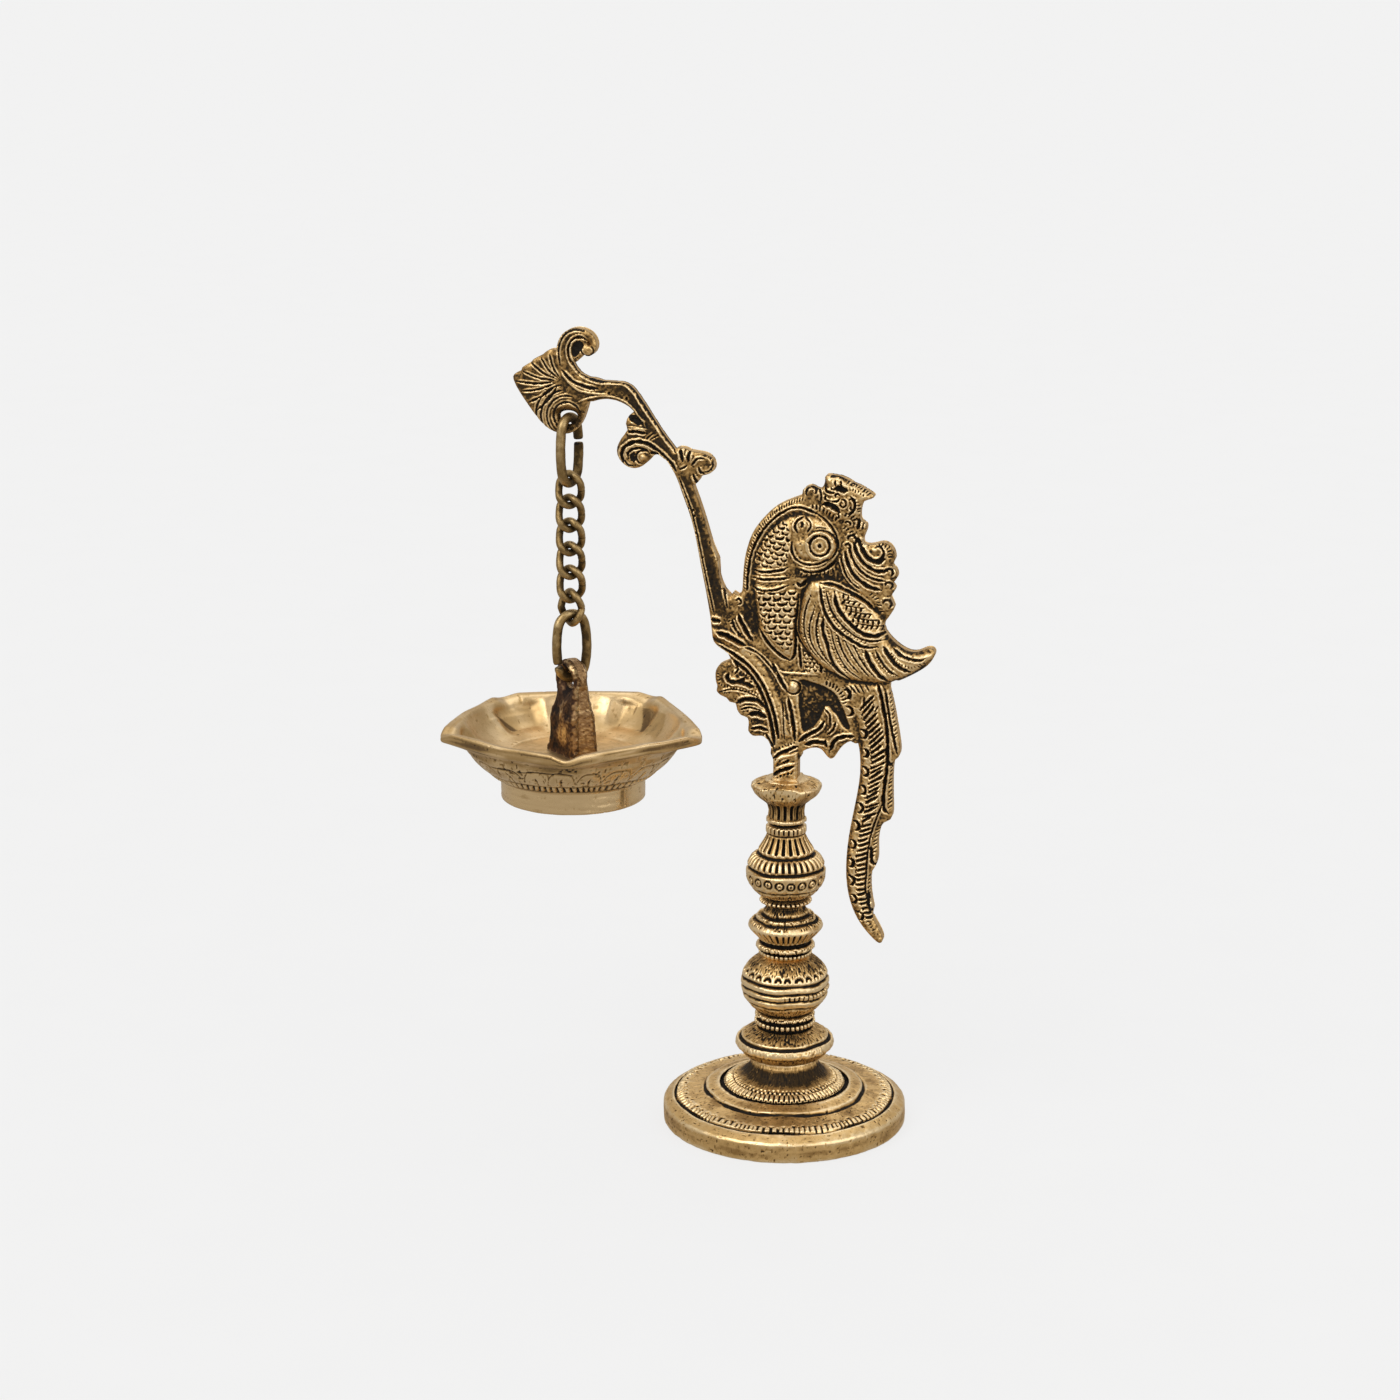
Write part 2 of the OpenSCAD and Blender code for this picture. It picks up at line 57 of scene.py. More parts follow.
# ---------------------------------------------------------------- curves and smooth steps


def fade(value, low, high):
    """0 below low, 1 above high, and a smooth change between them."""
    t = np.clip((value - low) / (high - low), 0, 1)
    return t * t * (3 - 2 * t)


def smooth_line(points, step=0.35, closed=False):
    """Points about step apart on the smooth curve through the given points."""
    p = np.array(points, float)
    if closed:
        p = np.vstack([p[-1:], p, p[:2]])
    else:
        p = np.vstack([2 * p[:1] - p[1:2], p, 2 * p[-1:] - p[-2:-1]])
    out = []
    for a, b, c, d in zip(p[:-3], p[1:-2], p[2:-1], p[3:]):
        count = max(1, int(np.linalg.norm(c - b) / step))
        t = (np.arange(count) / count)[:, None]
        curve = 2 * b + (c - a) * t + (2 * a - 5 * b + 4 * c - d) * t**2
        out.append(0.5 * (curve + (3 * b - a - 3 * c + d) * t**3))
    out.append(p[1:2] if closed else p[-2:-1])
    return np.vstack(out)


def arc(x, z, r, start, end, r_end=None, count=12):
    """Points on an arc, or on a spiral that ends at radius r_end. Angles in degrees from +X to +Z."""
    a = np.radians(np.linspace(start, end, count))
    radius = np.linspace(r, r if r_end is None else r_end, count)
    return np.stack([x + radius * np.cos(a), z + radius * np.sin(a)], 1)


def lengths_to(line):
    """How far along a line each of its points is."""
    return np.r_[0, np.cumsum(np.linalg.norm(np.diff(line, axis=0), axis=1))]


def points_at(line, at):
    """The points that are the given distances along a line."""
    lengths = lengths_to(line)
    return np.stack([np.interp(at, lengths, column) for column in line.T], 1)


def spaced(line, spacing):
    """Points at even spacing along a line, with the line's direction at each."""
    at = np.arange(spacing / 2, lengths_to(line)[-1], spacing)
    along = points_at(line, at + 0.1) - points_at(line, at - 0.1)
    return points_at(line, at), along / np.maximum(np.linalg.norm(along, axis=1), 1e-9)[:, None]


def resampled(loop, step):
    """A closed loop's points at about an even step."""
    closed = np.vstack([loop, loop[:1]])
    around = lengths_to(closed)[-1]
    count = max(8, int(around / step))
    return points_at(closed, np.arange(count) / count * around)


def even_line(line, step):
    """An open line's points at about an even step, with both its ends kept."""
    whole = lengths_to(line)[-1]
    return points_at(line, np.linspace(0, whole, max(2, int(whole / step) + 2)))


def blur(field, sigma, wrap=False):
    """Gaussian blur of a 2-D array by sigma cells, along both axes; wrap joins the second axis' ends."""
    reach = max(1, int(3 * sigma))
    kernel = np.exp(-0.5 * (np.arange(-reach, reach + 1) / sigma) ** 2)
    kernel /= kernel.sum()
    for axis in (0, 1):
        pad = [(0, 0), (0, 0)]
        pad[axis] = (reach, reach)
        padded = np.pad(field, pad, mode="wrap" if wrap and axis == 1 else "edge")
        size = field.shape[axis]
        field = sum(k * np.take(padded, range(i, i + size), axis) for i, k in enumerate(kernel))
    return field


def between(field, i, j, s, t):
    """A field's value at shares s and t of the way past its cells i and j."""
    return (
        field[i, j] * (1 - s) * (1 - t)
        + field[i + 1, j] * s * (1 - t)
        + field[i, j + 1] * (1 - s) * t
        + field[i + 1, j + 1] * s * t
    )


def lumps(shape, cells, wrap=False, stretch=1):
    """Smooth random field from about -1 to 1, with lumps about the given number of cells across.

    stretch is how many times longer they are along the second axis.
    """
    rows, columns = (max(3, int(s / c) + 3) for s, c in zip(shape, (cells, cells * stretch)))
    seed = draws.uniform(-1, 1, (rows, columns))
    if wrap:
        seed[:, -1] = seed[:, 0]
    u = np.linspace(0, rows - 1.001, shape[0])[:, None]
    v = np.linspace(0, columns - 1.001, shape[1])[None, :]
    i, j = u.astype(int), v.astype(int)
    return between(seed, i, j, fade(u - i, 0, 1), fade(v - j, 0, 1))


def round_lumps(shape):
    """A maker of smooth random fields of one shape that join up round a turned piece."""
    return lambda cells, stretch=1: lumps(shape, cells, True, stretch)


# ---------------------------------------------------------------- the relief


# How far a stroke's edge wanders, as a share of its width, and how far inside an outline is measured
RAG = 0.28
INSIDE_REACH = 4.5


class Relief:
    """A height map over X and Z that shapes are raised from and strokes are cut into."""

    def __init__(self, low, high, pitch):
        self.low, self.pitch = np.array(low, float), pitch
        self.shape = tuple(int((h - l) / pitch) + 1 for l, h in zip(low, high))[::-1]
        self.x = self.low[0] + pitch * np.arange(self.shape[1])
        self.z = self.low[1] + pitch * np.arange(self.shape[0])
        self.body = np.zeros(self.shape)
        self.raised = np.zeros(self.shape)
        self.cut_in = np.zeros(self.shape)
        self.tone = np.zeros(self.shape)
        self.ragged = 0.5 * self.lumps(0.45) + 0.5 * self.lumps(1.1)

    def lumps(self, size, shape=None):
        """A smooth random field over the map, or over a part of it, with lumps of a size."""
        return lumps(shape or self.shape, size / self.pitch)

    def window(self, points, margin):
        """The part of the map within a margin of the points: its two slices and its grids of X and Z."""
        lo = np.floor((np.min(points, 0) - margin - self.low) / self.pitch).astype(int)
        hi = np.ceil((np.max(points, 0) + margin - self.low) / self.pitch).astype(int) + 1
        across = slice(max(lo[0], 0), max(min(hi[0], self.shape[1]), 0))
        up = slice(max(lo[1], 0), max(min(hi[1], self.shape[0]), 0))
        x, z = np.meshgrid(self.x[across], self.z[up])
        return (up, across), x, z

    def nearness(self, line, margin):
        """Distance from a line, and how far along it the nearest point is as a share of its length."""
        spot, x, z = self.window(line, margin)
        near = np.full(x.shape, 1e9)
        share = np.zeros(x.shape)
        lengths = lengths_to(line)
        for first in range(0, len(line) - 1, 8):
            part = line[first : first + 9]
            (up, across), _, _ = self.window(part, margin)
            rows = slice(up.start - spot[0].start, up.stop - spot[0].start)
            columns = slice(across.start - spot[1].start, across.stop - spot[1].start)
            px, pz = x[rows, columns], z[rows, columns]
            for k in range(len(part) - 1):
                a, d = part[k], part[k + 1] - part[k]
                t = np.clip(((px - a[0]) * d[0] + (pz - a[1]) * d[1]) / max(d @ d, 1e-12), 0, 1)
                away = np.hypot(px - a[0] - t * d[0], pz - a[1] - t * d[1])
                closer = away < near[rows, columns]
                near[rows, columns] = np.where(closer, away, near[rows, columns])
                here = lengths[first + k] + t * (lengths[first + k + 1] - lengths[first + k])
                share[rows, columns] = np.where(closer, here, share[rows, columns])
        return spot, near, share / max(lengths[-1], 1e-9)

    def raise_to(self, spot, height):
        """Raises a part of the map at least to a height over its body."""
        self.raised[spot] = np.maximum(self.raised[spot], height)

    def cut_to(self, spot, depth):
        """Cuts a part of the map at least to a depth."""
        self.cut_in[spot] = np.maximum(self.cut_in[spot], depth)

    def stroke(self, points, width, depth, lip=0.35, taper=0.15, closed=False, step=0.35):
        """Cuts a groove along a smooth line, a lip raised on each side. A negative depth is a ridge."""
        line = smooth_line(points, step, closed)
        spot, near, share = self.nearness(line, 1.6 * width + 0.4)
        ends = np.ones(share.shape)
        if taper and not closed:
            ends = fade(share, -0.02, taper) * fade(1 - share, -0.02, taper)
        half = width / 2 * (0.45 + 0.55 * ends)
        near = np.maximum(near + RAG * self.ragged[spot] * np.minimum(width, 0.8), 0)
        groove = (1 - fade(near / half, 0.4, 1.25)) * (0.3 + 0.7 * ends)
        if depth < 0:
            self.raise_to(spot, -depth * groove)
            return
        self.cut_to(spot, depth * groove)
        self.raise_to(spot, lip * depth * np.exp(-(((near - 1.75 * half) / (0.65 * half)) ** 2)) * ends)

    def strokes(self, several):
        """A stroke for each line, each with its own width, depth, and lip and taper if it has them."""
        for stroke in several:
            self.stroke(*stroke)

    def ticks(self, points, spacing, reach, lean, width, depth, offset=0.0, lip=0.2, step=0.35):
        """Short cuts across a line. reach is each one's length, lean its angle from the line in degrees."""
        where, along = spaced(smooth_line(points, step), spacing)
        angle = math.radians(lean)
        turn = np.array([[math.cos(angle), math.sin(angle)], [-math.sin(angle), math.cos(angle)]])
        for at, way in zip(where, along):
            side = np.array([-way[1], way[0]])
            way = way @ turn
            middle = at + offset * side + draws.normal(0, 0.06 * spacing, 2)
            half = reach / 2 * draws.uniform(0.8, 1.1) * way
            self.stroke([middle - half, middle + half], width, depth * draws.uniform(0.7, 1.1), lip, 0.25)

    def tick_rows(self, rows):
        """A row of ticks for each line, each with its own spacing, reach, lean, width and depth."""
        for row in rows:
            self.ticks(*row)

    def inside(self, points):
        """Distance inside a smooth closed outline, negative outside it."""
        line = smooth_line(points, 0.5, True)
        spot, near, _ = self.nearness(line, INSIDE_REACH)
        _, x, z = self.window(line, INSIDE_REACH)
        odd = np.zeros(x.shape, bool)
        for (ax, az), (bx, bz) in zip(line[:-1], line[1:]):
            crosses = (az > z) != (bz > z)
            odd ^= crosses & (x < ax + (z - az) * (bx - ax) / (bz - az if bz != az else 1e-9))
        near = np.minimum(near, INSIDE_REACH)
        return spot, np.where(odd, near, -near), x, z

    def swell(self, points, height, reach):
        """Raises a rounded body inside an outline, up to a height at reach from its edge."""
        spot, deep, _, _ = self.inside(points)
        t = np.clip(deep / reach, 0, 1)
        body = height * (0.35 * fade(deep, -0.3, 0.3) + 0.65 * np.sqrt(1 - (1 - t) ** 2))
        self.body[spot] = np.maximum(self.body[spot], body)

    def shade(self, points, amount, soft=0.8):
        """Makes the metal inside an outline more worn, or darker where the amount is negative."""
        spot, deep, _, _ = self.inside(points)
        self.tone[spot] += amount * fade(deep, -soft, soft)

    def sink(self, points, depth, rough):
        """Sinks rough ground inside an outline."""
        spot, deep, x, _ = self.inside(points)
        grain = 0.5 + 0.5 * self.lumps(0.55, x.shape)
        self.cut_to(spot, fade(deep, -0.25, 0.25) * (depth + rough * grain))

    def scales(self, points, across, down, height, lean=0.0):
        """Staggered scales inside an outline, each a rounded tongue with a dark crescent under its tip."""
        spot, deep, x, z = self.inside(points)
        wander = 0.55 * self.lumps(2.4, x.shape) + 0.22 * self.lumps(0.7, x.shape)
        angle = math.radians(lean)
        u = x * math.cos(angle) + z * math.sin(angle) + wander
        v = -x * math.sin(angle) + z * math.cos(angle) + 0.5 * wander
        row = np.floor(v / down)
        body = np.zeros(x.shape)
        gap = np.zeros(x.shape)
        for above in (0, 1):
            shift = u / across + 0.5 * ((row + above) % 2)
            side = 2 * (shift - np.floor(shift)) - 1
            up = v / down - row - above + 0.9
            lip = 0.1 + 0.75 * side**2
            tongue = fade(up, lip, lip + 0.35) * (1 - 0.6 * fade(up, 0.8, 1.8)) * (1 - side**4)
            body = np.maximum(body, tongue)
            crescent = (1 - fade(np.abs(up - lip + 0.08), 0.1, 0.34)) * (1 - fade(np.abs(side), 0.55, 0.95))
            gap = np.maximum(gap, crescent)
        gap = gap * height * 1.8 * (0.75 + 0.6 * self.lumps(1.2, x.shape))
        inner = fade(deep, 0, 0.4)
        self.raise_to(spot, height * (0.3 + 0.7 * body) * inner)
        self.cut_to(spot, gap * inner)

    def pits(self, count, radius, depth):
        """Small casting pits, scattered at random."""
        for _ in range(count):
            at = self.low + draws.uniform(0, 1, 2) * (np.array(self.shape[::-1]) - 1) * self.pitch
            r = radius * draws.uniform(0.5, 1.3)
            spot, x, z = self.window([at], 2 * r)
            self.cut_to(spot, depth * (1 - fade(np.hypot(x - at[0], z - at[1]), 0.4 * r, 1.3 * r)))

    def edge_of(self, loops, margin, width):
        """0 on the loops, rising to 1 at a width from them."""
        edge = np.ones(self.shape)
        for loop in loops:
            spot, near, _ = self.nearness(np.vstack([loop, loop[:1]]), margin)
            edge[spot] = np.minimum(edge[spot], near / width)
        return np.clip(edge, 0, 1)

    def at(self, field, points):
        """A field's value at points, between its cells."""
        g = (points - self.low) / self.pitch
        i = np.clip(g[:, 1].astype(int), 0, self.shape[0] - 2)
        j = np.clip(g[:, 0].astype(int), 0, self.shape[1] - 2)
        return between(field, i, j, np.clip(g[:, 1] - i, 0, 1), np.clip(g[:, 0] - j, 0, 1))


def wear_of(height, pitch, wrap=False, fine=0.35, broad=1.1):
    """How worn a surface is, from 0 in its recesses to 1 on its ridges, with 0.5 on its flats."""
    near = height - blur(height, fine / pitch, wrap)
    far = height - blur(height, broad / pitch, wrap)
    return 0.5 + 2.2 * near + 0.75 * far


def rounding(edge):
    """How far a rounded edge falls, from 1 at the rim to 0 inside."""
    return 1 - np.sqrt(1 - (1 - edge) ** 2)


# ---------------------------------------------------------------- meshes

RIM_STEP = 0.33
WALL_WEAR = 0.62


def piece_from(name, vertices, faces, body, replaced, material, wear):
    """Makes a finished piece that rides on a body and stands for one CAD node."""
    mesh = bpy.data.meshes.new(name)
    mesh.from_pydata((np.asarray(vertices) * MM).tolist(), [], [list(map(int, f)) for f in faces])
    mesh.validate()
    attribute = mesh.attributes.new("wear", "FLOAT", "POINT")
    attribute.data.foreach_set("value", np.clip(wear, 0, 1).astype(np.float32))
    mesh.polygons.foreach_set("use_smooth", [True] * len(mesh.polygons))
    piece = bpy.data.objects.new(name, mesh)
    bpy.context.scene.collection.objects.link(piece)
    piece.data.materials.append(material)
    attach(piece, body)
    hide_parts(replaced)


def loops_at(node, origin, normal):
    """Closed loops of points where a plane cuts a CAD node."""
    cut = bmesh.new()
    cut.from_mesh(nodes[node].data)
    bmesh.ops.remove_doubles(cut, verts=cut.verts, dist=1e-6)
    everything = cut.verts[:] + cut.edges[:] + cut.faces[:]
    found = bmesh.ops.bisect_plane(cut, geom=everything, plane_co=origin, plane_no=normal, dist=1e-7)
    # A dict keeps the cut's own order, where a set would start each loop at a different edge in each run
    edges = dict.fromkeys(e for e in found["geom_cut"] if isinstance(e, bmesh.types.BMEdge))
    loops = []
    while edges:
        edge = next(iter(edges))
        del edges[edge]
        start, here = edge.verts
        loop = [start.co.copy(), here.co.copy()]
        while here is not start:
            onward = next((e for e in here.link_edges if e in edges), None)
            if onward is None:
                break
            del edges[onward]
            here = onward.other_vert(here)
            loop.append(here.co.copy())
        loops.append(np.array(loop[:-1]) / MM)
    cut.free()
    return loops


def inside_loops(points, loops):
    """True for each point that lies inside the outer loop and outside the holes."""
    odd = np.zeros(len(points), bool)
    x, z = points[:, 0], points[:, 1]
    for loop in loops:
        for (ax, az), (bx, bz) in zip(loop, np.roll(loop, -1, 0)):
            if az == bz:
                continue
            crosses = (az > z) != (bz > z)
            odd[crosses] ^= x[crosses] < ax + (z[crosses] - az) * (bx - ax) / (bz - az)
    return odd


def sheet_of(loops, pitch):
    """Triangles that fill the loops, fitted to their edges, with inner points on an even grid."""
    rim = np.vstack(loops)
    low, high = rim.min(0), rim.max(0)
    grid = []
    for i, z in enumerate(np.arange(low[1], high[1], pitch * 0.866)):
        x = np.arange(low[0] + (i % 2) * pitch / 2, high[0], pitch)
        grid.append(np.stack([x, np.full_like(x, z)], 1))
    grid = np.vstack(grid)
    grid = grid[inside_loops(grid, loops)]
    cell = pitch * 0.6
    taken = {(int(x // cell), int(z // cell)) for x, z in rim}
    around = [(i, j) for i in (-1, 0, 1) for j in (-1, 0, 1)]
    clear = [not any((int(x // cell) + i, int(z // cell) + j) in taken for i, j in around) for x, z in grid]
    points = np.vstack([rim, grid[np.array(clear)]])
    edges, first = [], 0
    for loop in loops:
        edges += [(first + k, first + (k + 1) % len(loop)) for k in range(len(loop))]
        first += len(loop)
    flat = [Vector(p) for p in points.tolist()]
    made, _, triangles, origin, _, _ = geometry.delaunay_2d_cdt(flat, edges, [], 0, 1e-6, True)
    made = np.array([tuple(p) for p in made])
    triangles = np.array([t for t in triangles if len(t) == 3])
    triangles = triangles[inside_loops(made[triangles].mean(1), loops)]
    order = np.full(len(made), -1)
    for new, old in enumerate(origin):
        if old:
            order[new] = old[0]
    return made, triangles, order


def relief_mesh(loops, relief, height, wear, front_pitch, back_pitch, rim_y, wall_rows=3):
    """A closed mesh with the relief on its front and, mirrored, on its back, as points X, Y, Z."""
    loops = [resampled(loop, RIM_STEP) for loop in loops]
    rim_count = sum(len(loop) for loop in loops)
    points, faces, worn, rims = [], [], [], []
    total = 0
    for side, pitch in ((-1, front_pitch), (1, back_pitch)):
        flat, triangles, order = sheet_of(loops, pitch)
        y = relief.at(height, flat)
        on_rim = (order >= 0) & (order < rim_count)
        y[on_rim] = np.minimum(y[on_rim], rim_y)
        points.append(np.stack([flat[:, 0], side * y, flat[:, 1]], 1))
        worn.append(relief.at(wear, flat))
        outward = triangles if side < 0 else triangles[:, ::-1]
        faces += [tuple(triangle) for triangle in outward + total]
        place = np.zeros(rim_count, int)
        place[order[on_rim]] = np.nonzero(on_rim)[0] + total
        rims.append(place)
        total += len(flat)
    levels = [rims[0]]
    stacked = np.vstack(points)
    front, back = stacked[rims[0]], stacked[rims[1]]
    for row in range(1, wall_rows):
        share = row / wall_rows
        points.append(front * (1 - share) + back * share)
        worn.append(np.full(rim_count, WALL_WEAR))
        levels.append(np.arange(rim_count) + total)
        total += rim_count
    levels.append(rims[1])
    for upper, lower in zip(levels[:-1], levels[1:]):
        first = 0
        for loop in loops:
            for k in range(len(loop)):
                a, b = first + k, first + (k + 1) % len(loop)
                faces.append((upper[a], lower[a], lower[b], upper[b]))
            first += len(loop)
    return np.vstack(points), faces, np.concatenate(worn)


def grid_faces(rows, columns, closed=True):
    """Quads of a grid whose second axis closes on itself, and whose first does too if it is closed."""
    quads = []
    for i in range(rows if closed else rows - 1):
        low, high = i * columns, (i + 1) % rows * columns
        ends = [(j, (j + 1) % columns) for j in range(columns)]
        quads += [(low + j, low + k, high + k, high + j) for j, k in ends]
    return quads


# ---------------------------------------------------------------- materials


def fill(tree, node, values):
    """Sets a node's inputs, by name or by number, each to a number or to another node's output."""
    for key, value in values.items():
        if isinstance(value, bpy.types.NodeSocket):
            tree.links.new(value, node.inputs[key])
        else:
            node.inputs[key].default_value = value


def colours_over(tree, value, stops, easing="LINEAR"):
    """The colour of a ramp at a value. stops are the colours, each with its place."""
    node = tree.nodes.new("ShaderNodeValToRGB")
    elements = node.color_ramp.elements
    node.color_ramp.interpolation = easing
    while len(elements) < len(stops):
        elements.new(0.5)
    for element, (at, colour) in zip(elements, stops):
        element.position = at
        element.color = (*colour, 1)
    tree.links.new(value, node.inputs["Fac"])
    return node.outputs["Color"]


def brass(name, tones, rough, grain, bump, specks, mottle=0.18):
    """Brass whose colour runs from its recesses to its worn ridges by the wear attribute, which in places
    also carries painted shade.

    tones are colours from recess to ridge, each with its place; rough is the roughness of the ridges.
    grain is the size of the mottling, in cells a metre, and bump the depth of the cast skin. specks is how
    dark the small pits that hold old polish are.
    """
    material = bpy.data.materials.new(name)
    material.use_nodes = True
    tree = material.node_tree
    shader = tree.nodes["Principled BSDF"]
    place = tree.nodes.new("ShaderNodeTexCoord").outputs["Object"]
    wear = tree.nodes.new("ShaderNodeAttribute")
    wear.attribute_name = "wear"

    def made(kind, output, values):
        node = tree.nodes.new("ShaderNode" + kind)
        fill(tree, node, values)
        return node.outputs[output]

    def noise(scale, detail, roughness, vector=place):
        values = {"Scale": scale, "Detail": detail, "Roughness": roughness, "Vector": vector}
        return made("TexNoise", "Fac", values)

    def mapped(value, low, high, to_low, to_high):
        values = {"Value": value, "From Min": low, "From Max": high, "To Min": to_low, "To Max": to_high}
        return made("MapRange", "Result", values)

    def sums(kind, *values):
        node = tree.nodes.new("ShaderNodeMath")
        node.operation = kind
        fill(tree, node, dict(enumerate(values)))
        return node.outputs["Value"]

    large = noise(grain, 4, 0.62)
    fine = noise(grain * 7, 5, 0.7)
    spots = sums("MULTIPLY_ADD", large, mottle * 1.6, -mottle * 0.8)
    streaks = sums("MULTIPLY_ADD", fine, mottle, -mottle / 2)
    worn = sums("ADD", sums("ADD", wear.outputs["Fac"], spots), sums("ADD", streaks, 0.02))
    worn = sums("SUBTRACT", worn, mapped(noise(1300, 6, 0.75), 0.56, 0.7, 0, specks))
    gloss = sums("ADD", mapped(worn, 0.15, 0.85, 0.72, rough), sums("MULTIPLY_ADD", large, 0.16, -0.08))
    lines = noise(1, 3, 0.5, made("Mapping", "Vector", {"Vector": place, "Scale": (900, 40, 900)}))
    skin = sums("ADD", sums("MULTIPLY", fine, 0.7), sums("MULTIPLY", lines, 0.3))
    fill(tree, shader, {
        "Base Color": colours_over(tree, worn, tones, "EASE"),
        "Metallic": mapped(worn, 0.12, 0.42, 0.25, 1),
        "Roughness": gloss,
        "Normal": made("Bump", "Normal", {"Strength": 1, "Distance": bump * MM, "Height": skin}),
        "Specular IOR Level": 0.25,
    })
    return material


RECESS = (0.01, 0.007, 0.004)
DARK = (0.05, 0.03, 0.012)
BROWN = (0.37, 0.222, 0.08)
GOLD = (0.71, 0.475, 0.2)
PALE = (0.92, 0.71, 0.41)

antique = brass(
    "antique_brass",
    [(0.13, RECESS), (0.3, DARK), (0.46, BROWN), (0.69, GOLD), (0.95, PALE)],
    rough=0.34, grain=420, bump=0.06, specks=0.42,
)
wire = brass(
    "wire_brass",
    [(0.15, RECESS), (0.36, (0.075, 0.047, 0.018)), (0.58, (0.28, 0.185, 0.075)), (0.95, (0.66, 0.49, 0.25))],
    rough=0.36, grain=600, bump=0.03, specks=0.25,
)
polished = brass(
    "polished_brass",
    [(0.08, RECESS), (0.27, (0.15, 0.09, 0.036)), (0.52, (0.52, 0.35, 0.155)), (0.85, (0.82, 0.61, 0.34))],
    rough=0.26, grain=160, bump=0.02, mottle=0.16, specks=0.2,
)
rough_cast = brass(
    "rough_brass",
    [(0.18, (0.014, 0.008, 0.006)), (0.42, (0.085, 0.045, 0.026)), (0.62, (0.3, 0.18, 0.085)),
     (0.88, (0.74, 0.53, 0.27))],
    rough=0.36, grain=260, bump=0.1, mottle=0.16, specks=0.25,
)
plain = brass(
    "plain_brass",
    [(0.1, RECESS), (0.35, (0.12, 0.08, 0.035)), (0.6, (0.4, 0.28, 0.12)), (0.95, (0.6, 0.45, 0.22))],
    rough=0.4, grain=400, bump=0.03, specks=0.1,
)


# ---------------------------------------------------------------- the branch

PITCH = 0.13
ARM_HALF = 2.4
branch_low, branch_high = (np.array(v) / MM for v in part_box("branch_casting"))
branch = Relief(branch_low[[0, 2]] - 1, branch_high[[0, 2]] + 1, PITCH)
branch.body[:] = ARM_HALF

BREAST = [(-8.4, 143), (-7.6, 150), (-4.6, 156), (0, 160.6), (6, 161.4), (11.4, 158.6), (13, 153),
    (9, 147), (5.4, 144), (3.6, 137), (3.2, 131), (1.4, 124.6), (-3, 126.4), (-6.8, 131), (-8, 137)]
WING = [(8, 145.2), (5, 143.4), (3.4, 138.6), (2.9, 133), (4, 128.6), (7, 124.4), (11, 121.4), (16, 119.4),
    (22, 118.8), (27, 119.6), (32, 121.8), (36, 125), (37.4, 127.2), (35.6, 128), (32.4, 127.2),
    (28.4, 128.4), (25, 132), (24.4, 136), (20, 140.6), (14.6, 143.8)]
EYE = (8.6, 153.8)
EYELET = (-56, 183.55)
# The eyelet's hole is this share as high above its middle as the CAD's, which is opened out for the ring
EYELET_TOP = 0.55

# Raised bodies, from the back to the front
branch.swell([(-19.4, 132), (-10, 128), (-4, 121), (0, 112), (2.4, 104), (-1.6, 104), (-4.6, 113),
    (-9, 121), (-16, 126.4), (-19.6, 129)], 3.2, 2.6)
branch.swell(BREAST, 3.9, 3.6)
branch.swell([(14, 146), (16.4, 152), (18, 157), (22, 155.6), (26, 154), (27, 150), (27, 144), (26, 137),
    (20, 139.6)], 3.1, 2.5)
branch.swell([(9.6, 171.4), (9.8, 165), (9, 162.4), (13.4, 159.6), (18, 160.6), (19.4, 164), (21.4, 166.4),
    (16, 169.8)], 3.2, 2)
branch.swell([(15, 119), (16.6, 112), (18.8, 104), (19, 95), (17.4, 84), (16, 74), (16, 66), (18, 59),
    (23, 52), (24.6, 51), (22, 58), (21.6, 66), (21.8, 75), (23.4, 82), (25.6, 90), (26.4, 100),
    (25.4, 112), (24, 119)], 3.1, 2.4)
branch.swell(WING, 4.0, 3.0)
branch.swell(arc(7.6, 153.5, 5.5, 0, 330), 4.3, 3.4)
branch.swell([(1.6, 154.6), (1.7, 152), (3.4, 149.9), (6.4, 149.2), (9.6, 150.2), (9.4, 153), (6, 156),
    (3, 156)], 4.4, 2.2)

# The ground behind stalk, leaves and tail
ground = [(3.4, 118.6), (8, 118), (12, 116.2), (14, 113.4), (15.6, 109.6), (16.4, 106.8), (14.8, 107.2),
    (12.8, 110.4), (10.4, 112.4), (9.4, 110.4), (7.6, 107.4), (4.6, 105.6), (3.8, 109), (3.3, 113)]
spot, deep, _, _ = branch.inside(ground)
branch.body[spot] -= 0.7 * fade(deep, -0.2, 0.35)
branch.sink(ground, 0.02, 0.16)
branch.shade(ground, -0.1, 0.3)
branch.sink([(-10.4, 141), (-8.6, 138), (-7.6, 133), (-7, 130.6), (-8.8, 130.2), (-10.6, 133)], 0.02, 0.14)
branch.shade([(-10.6, 141), (-8, 138), (-7, 133), (-6.6, 130), (-9, 129.6), (-11, 133)], -0.1)
branch.sink([(2.6, 148), (5, 146.8), (9, 147.2), (12.4, 150), (14.6, 146), (13, 144.6), (8, 145.6),
    (3, 145.4)], 0.02, 0.16)
branch.shade([(2.2, 149), (5, 147), (9, 147.4), (12.6, 150.4), (14.6, 146), (13, 144.6), (8, 145.4),
    (2.4, 144)], -0.08)
branch.sink([(-54.4, 201.6), (-52.6, 202.6), (-51.6, 201.6), (-52.6, 199.8), (-53.8, 198.6),
    (-54.6, 199.6)], 0.3, 0.3)
branch.swell(arc(-50.7, 200.4, 1.9, 0, 340), 2.7, 1.2)
branch.sink([(-40.4, 184.2), (-38, 184.4), (-36.6, 182.6), (-37.4, 182), (-39.2, 182.8)], 0.2, 0.3)

